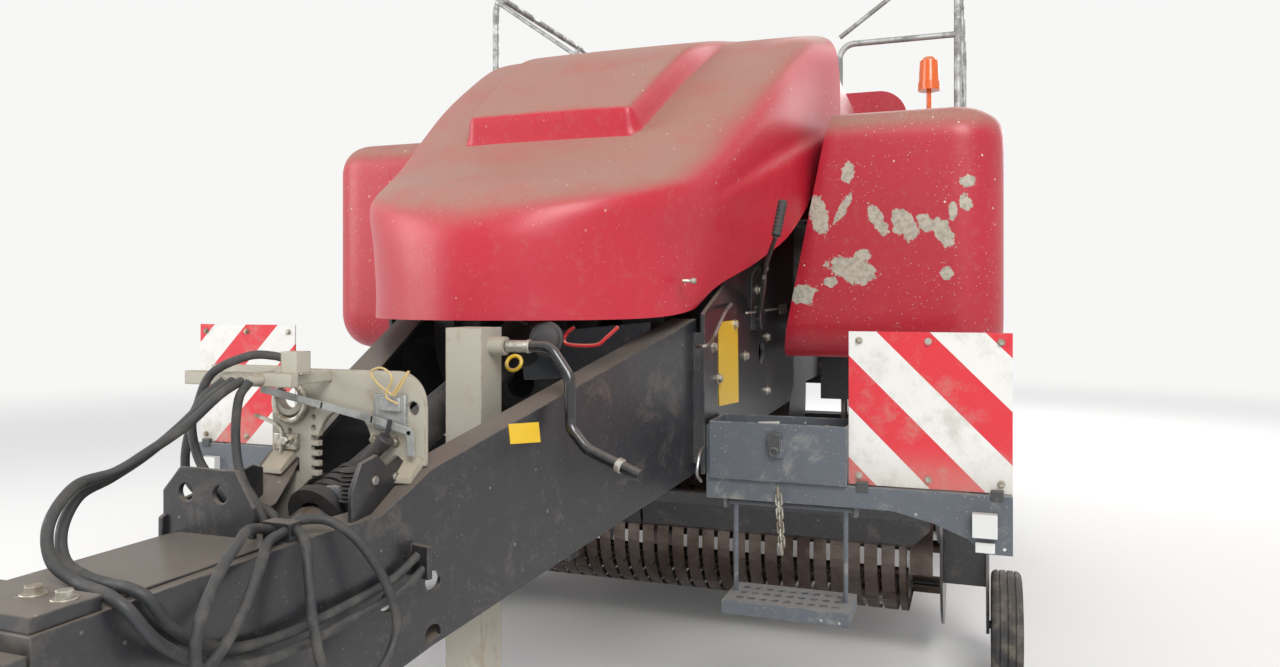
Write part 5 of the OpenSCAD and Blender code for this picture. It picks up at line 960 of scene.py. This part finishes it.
def safety_lever():
    """Safety lever with its bracket, standing clear of the hood's side."""
    foot, knee = on_side(*LEVER_FOOT, 0.556), on_side(*LEVER_KNEE, 0.640)
    grip_low, grip_top = on_side(*GRIP_LOW, 0.708), on_side(*GRIP_TOP, 0.722)
    bracket = [(-0.885, 1.335), (-0.775, 1.335), (-0.735, 1.430), (-0.735, 1.520), (-0.800, 1.560),
               (-0.885, 1.520)]
    lever = Build().plate(bracket, (SIDE_X - 0.001, 0, 0), AHEAD, UP, 0.010)
    bend = foot.lerp(knee, 0.6) + Vector((0.004, 0, 0))
    lever.tube([foot, bend, knee, grip_low], 0.020, 12, 5, 0.014)
    lever.cyl(foot - Vector((0.020, 0, 0)), foot + Vector((0.020, 0, 0)), 0.085, 28)
    arm = (0.012, 0.046, (knee - foot).length * 0.92)
    lever.block(foot.lerp(knee, 0.45), arm, ACROSS, knee - foot)
    lever.object("lever_arm", "frame", "frame", "dark_frame", 0.0015)
    span = grip_top - grip_low
    h = span.length
    thin, thick = 0.0125, 0.0150
    ribs = []
    for i in range(9):
        t = h * i / 9
        ribs += [(t, thin), (t + h / 30, thick), (t + h / 14, thick), (t + h / 9.5, thin)]
    grip = Build().lathe(grip_low, span, ribs + [(h, 0.010)], 20)
    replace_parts(grip.object("lever_grip", "plastic", "frame", "black_plastic"), "brake_lever")


def toolbox_fittings():
    """Papers in the open toolbox and its latch."""
    floor_z = 0.935
    papers = Build()
    sheets = ((0.640, 0.10, 1.075), (0.712, -0.06, 1.083), (0.790, 0.05, 1.068), (0.858, -0.12, 1.076))
    for x, lean, top in sheets:
        papers.block((x, -1.350, 0.5 * (floor_z + top)), (0.062, 0.010, top - floor_z), (1, 0.3 * lean, lean),
                     (lean, 0, 1))
    papers.object("papers", "paper", "frame", "board", 0.001)
    tongue = [(-0.017, -0.024), (0.017, -0.024), (0.020, 0.018), (0.0, 0.027), (-0.020, 0.018)]
    latch = Build().plate(tongue, (0.744, -1.456, 1.040), ACROSS, UP, 0.004)
    latch.ring((0.744, -1.462, 1.012), AHEAD, 0.011, 0.0025, 20, 6)
    latch.object("box_latch", "iron", "frame", "dark_iron")


def step_chain(links=9):
    a, b = seen("step_chain", -1.456)
    d = (b - a).normalized()
    chain = Build()
    for i in range(links):
        flat = AHEAD if i % 2 else (d.z, 0, -d.x)
        chain.ring(a.lerp(b, (i + 0.5) / links), flat, 0.0085, 0.0026, 10, 5, 0.0095, d)
    chain.object("step_chain", "zinc", "frame", "worn_steel")


def lamp_wiring():
    left = [(0.545, -1.300, 0.846), (0.66, -1.325, 0.836), (0.78, -1.32, 0.842), (0.90, -1.33, 0.850),
            (0.99, -1.345, 0.860)]
    right = [(-0.545, -1.300, 0.846), (-0.72, -1.32, 0.838), (-0.90, -1.33, 0.852), (-0.99, -1.345, 0.860)]
    line = Build().tube(left, 0.012, 10, 6).tube(right, 0.012, 10, 6)
    line.object("lamp_wiring", "hose", "frame", "black_plastic")


def frame_bolts():
    """Plates on the tongue's box, bolts of box, side plates and boards, clips under the boards."""
    box_top, cap_top = 1.004, 1.028
    cap = Build().box(-0.128, 0.128, -3.176, -3.070, box_top, cap_top)
    cap.box(-0.112, 0.112, -3.040, -2.700, box_top, 1.010)
    cap.object("box_top_plates", "frame", "frame", "dark_frame", 0.002)
    bolts = Build()
    for x in (-0.095, -0.030, 0.040, 0.100):
        bolts.hexbolt((x, -3.145 + 0.040 * (x > 0), cap_top), UP, 0.022)
    on_plates = ((-1.36, 1.300), (-1.30, 1.200), (-1.10, 1.360), (-1.10, 1.040), (-0.95, 1.250),
                 (-0.60, 1.300), (-0.60, 1.100))
    for y, z in on_plates:
        for s in (-1, 1):
            bolts.hexbolt((s * SIDE_X, y, z), (s, 0, 0), 0.022)
    for x in (0.975, 1.158, 1.342):
        for z in (0.955, 1.328):
            for s in (-1, 1):
                bolts.hexbolt((s * x, -1.4205, z), OUT, 0.012, 0.007)
    bolts.object("frame_bolts", "zinc", "frame", "worn_steel")
    clips = Build()
    for x in (0.985, 1.332):
        for s in (-1, 1):
            clips.box(s * x - 0.016, s * x + 0.016, -1.436, -1.4195, 0.912, 0.940)
    clips.object("board_clips", "iron", "frame", "dark_iron", 0.002)


plate_fittings()
plug_and_twine()
flange_and_bellows()
beam_ears()
crank_end()
under_hood()
labels()
rods_and_tag()
safety_lever()
toolbox_fittings()
step_chain()
lamp_wiring()
frame_bolts()

# Road tyres: one half of the casing as distance from the middle and radius, then its mirror image
TYRE_R, TYRE_X, AXLE_Y = 0.620, 1.052, 2.150
HALF_CASING = [(0.236, 0.290), (0.240, 0.330), (0.285, 0.420), (0.298, 0.500), (0.286, 0.560), (0.240, 0.592),
               (0.120, 0.602)]
CASING = [(-t, r) for t, r in HALF_CASING] + HALF_CASING[::-1]
LUGS, LUG_SIZE, LUG_MID_R, LUG_MID_X, LUG_SLANT = 22, (0.235, 0.052, 0.021), 0.6050, 0.135, 0.42
NUTS, NUT_R = 8, 0.115


def road_wheel(side, sign):
    c = Vector((sign * TYRE_X, AXLE_Y, TYRE_R))
    body = "wheel_" + side
    n, rows = 56, len(CASING)
    casing = [c + Vector((t, r * a, r * b)) for t, r in CASING for a, b in circle(n)]
    joins = [(i * n + k, i * n + (k + 1) % n, ((i + 1) % rows) * n + (k + 1) % n, ((i + 1) % rows) * n + k)
             for i in range(rows) for k in range(n)]
    tyre = Build().add(casing, joins)
    for k in range(LUGS):
        for half in (-1, 1):
            a = 2 * math.pi * (k + (0.5 if half > 0 else 0.0)) / LUGS
            up = Vector((0, math.cos(a), math.sin(a)))
            along = Vector((0, -math.sin(a), math.cos(a)))
            mid = c + Vector((half * LUG_MID_X, 0, 0)) + up * LUG_MID_R
            tyre.block(mid, LUG_SIZE, Vector(ACROSS) + along * (LUG_SLANT * half), up)
    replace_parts(tyre.object("tyre_tread_" + side, "tyre", body, "tyre", angle=30.0), "tyre_" + side)
    nuts = Build()
    for a, b in circle(NUTS, 0.5):
        nuts.hexbolt(c + Vector((sign * 0.004, NUT_R * a, NUT_R * b)), (sign, 0, 0), 0.026, 0.018)
    nuts.object("wheel_nuts_" + side, "zinc", body, "worn_steel")


def rear_fittings():
    """Bolts along the chamber, grips on the ladder's rungs, aprons under the twine boxes."""
    bolts = Build()
    for s in (-1, 1):
        for hoop_y in (1.56, 2.02, 2.48, 2.88, 3.23):
            for z in (1.06, 1.84):
                bolts.hexbolt((s * 0.410, hoop_y - 0.06, z), (s, 0, 0), 0.022)
    bolts.object("chamber_bolts", "zinc", "frame", "worn_steel")
    grips = Build()
    for i in range(6):
        rung_z = 0.6245 + 0.290 * i
        for x in np.linspace(0.905, 1.195, 12):
            grips.box(x - 0.006, x + 0.006, 3.462, 3.568, rung_z, rung_z + 0.004)
    grips.object("ladder_grips", "galv", "frame", "galvanised")
    apron = Build().box(0.604, 1.236, 0.268, 0.272, 0.985, 1.336).mirrored()
    apron.object("box_aprons", "frame", "frame", "dark_frame", 0.001)


road_wheel("left", 1)
road_wheel("right", -1)
rear_fittings()

# Stage: pale floor that glows into the background far away, pale sky, soft light
PALE = (0.93, 0.93, 0.92, 1.0)


def pale_floor():
    bpy.ops.mesh.primitive_plane_add(size=120, location=(0, 0, 0))
    floor = bpy.context.object
    floor.name = "floor"
    t = Tree("floor_pale")
    t.finish((0.80, 0.79, 0.77), 0.9)
    glow = t.node("Emission", {"Color": PALE})
    far = t.level(t.vec("LENGTH", t.co, out="Value"), 5.0, 15.0)
    blend = t.node("MixShader", {0: far, 1: t.bsdf.outputs[0], 2: glow.outputs[0]})
    t.link(blend.outputs[0], t.t.nodes["Material Output"].inputs["Surface"])
    floor.data.materials.append(t.mat)


def studio_sky():
    world = bpy.data.worlds.new("studio")
    bpy.context.scene.world = world
    world.use_nodes = True
    tree = world.node_tree
    link = tree.links.new
    light = tree.nodes["Background"]
    light.inputs["Color"].default_value = (0.92, 0.96, 1.0, 1.0)
    light.inputs["Strength"].default_value = 0.55
    white = tree.nodes.new("ShaderNodeBackground")
    white.inputs["Color"].default_value = PALE
    rays = tree.nodes.new("ShaderNodeLightPath").outputs
    shown = rays["Is Camera Ray"]
    for kind in ("Is Glossy Ray", "Is Transmission Ray"):
        either = tree.nodes.new("ShaderNodeMath")
        either.operation = "MAXIMUM"
        link(shown, either.inputs[0])
        link(rays[kind], either.inputs[1])
        shown = either.outputs[0]
    mixer = tree.nodes.new("ShaderNodeMixShader")
    link(shown, mixer.inputs[0])
    link(light.outputs[0], mixer.inputs[1])
    link(white.outputs[0], mixer.inputs[2])
    link(mixer.outputs[0], tree.nodes["World Output"].inputs["Surface"])


def area(name, loc, target, size, power):
    d = bpy.data.lights.new(name, "AREA")
    d.energy = power
    d.size = size
    o = bpy.data.objects.new(name, d)
    bpy.context.scene.collection.objects.link(o)
    o.location = loc
    o.rotation_euler = (Vector(target) - Vector(loc)).to_track_quat("-Z", "Y").to_euler()


pale_floor()
studio_sky()
area("key", (4.5, -8.0, 7.5), (0, -1.0, 1.2), 5.0, 900)
area("fill", (-7.0, -5.0, 4.0), (0, -1.0, 1.2), 5.0, 350)
area("back", (2.0, 8.0, 6.0), (0, 1.5, 1.5), 6.0, 500)
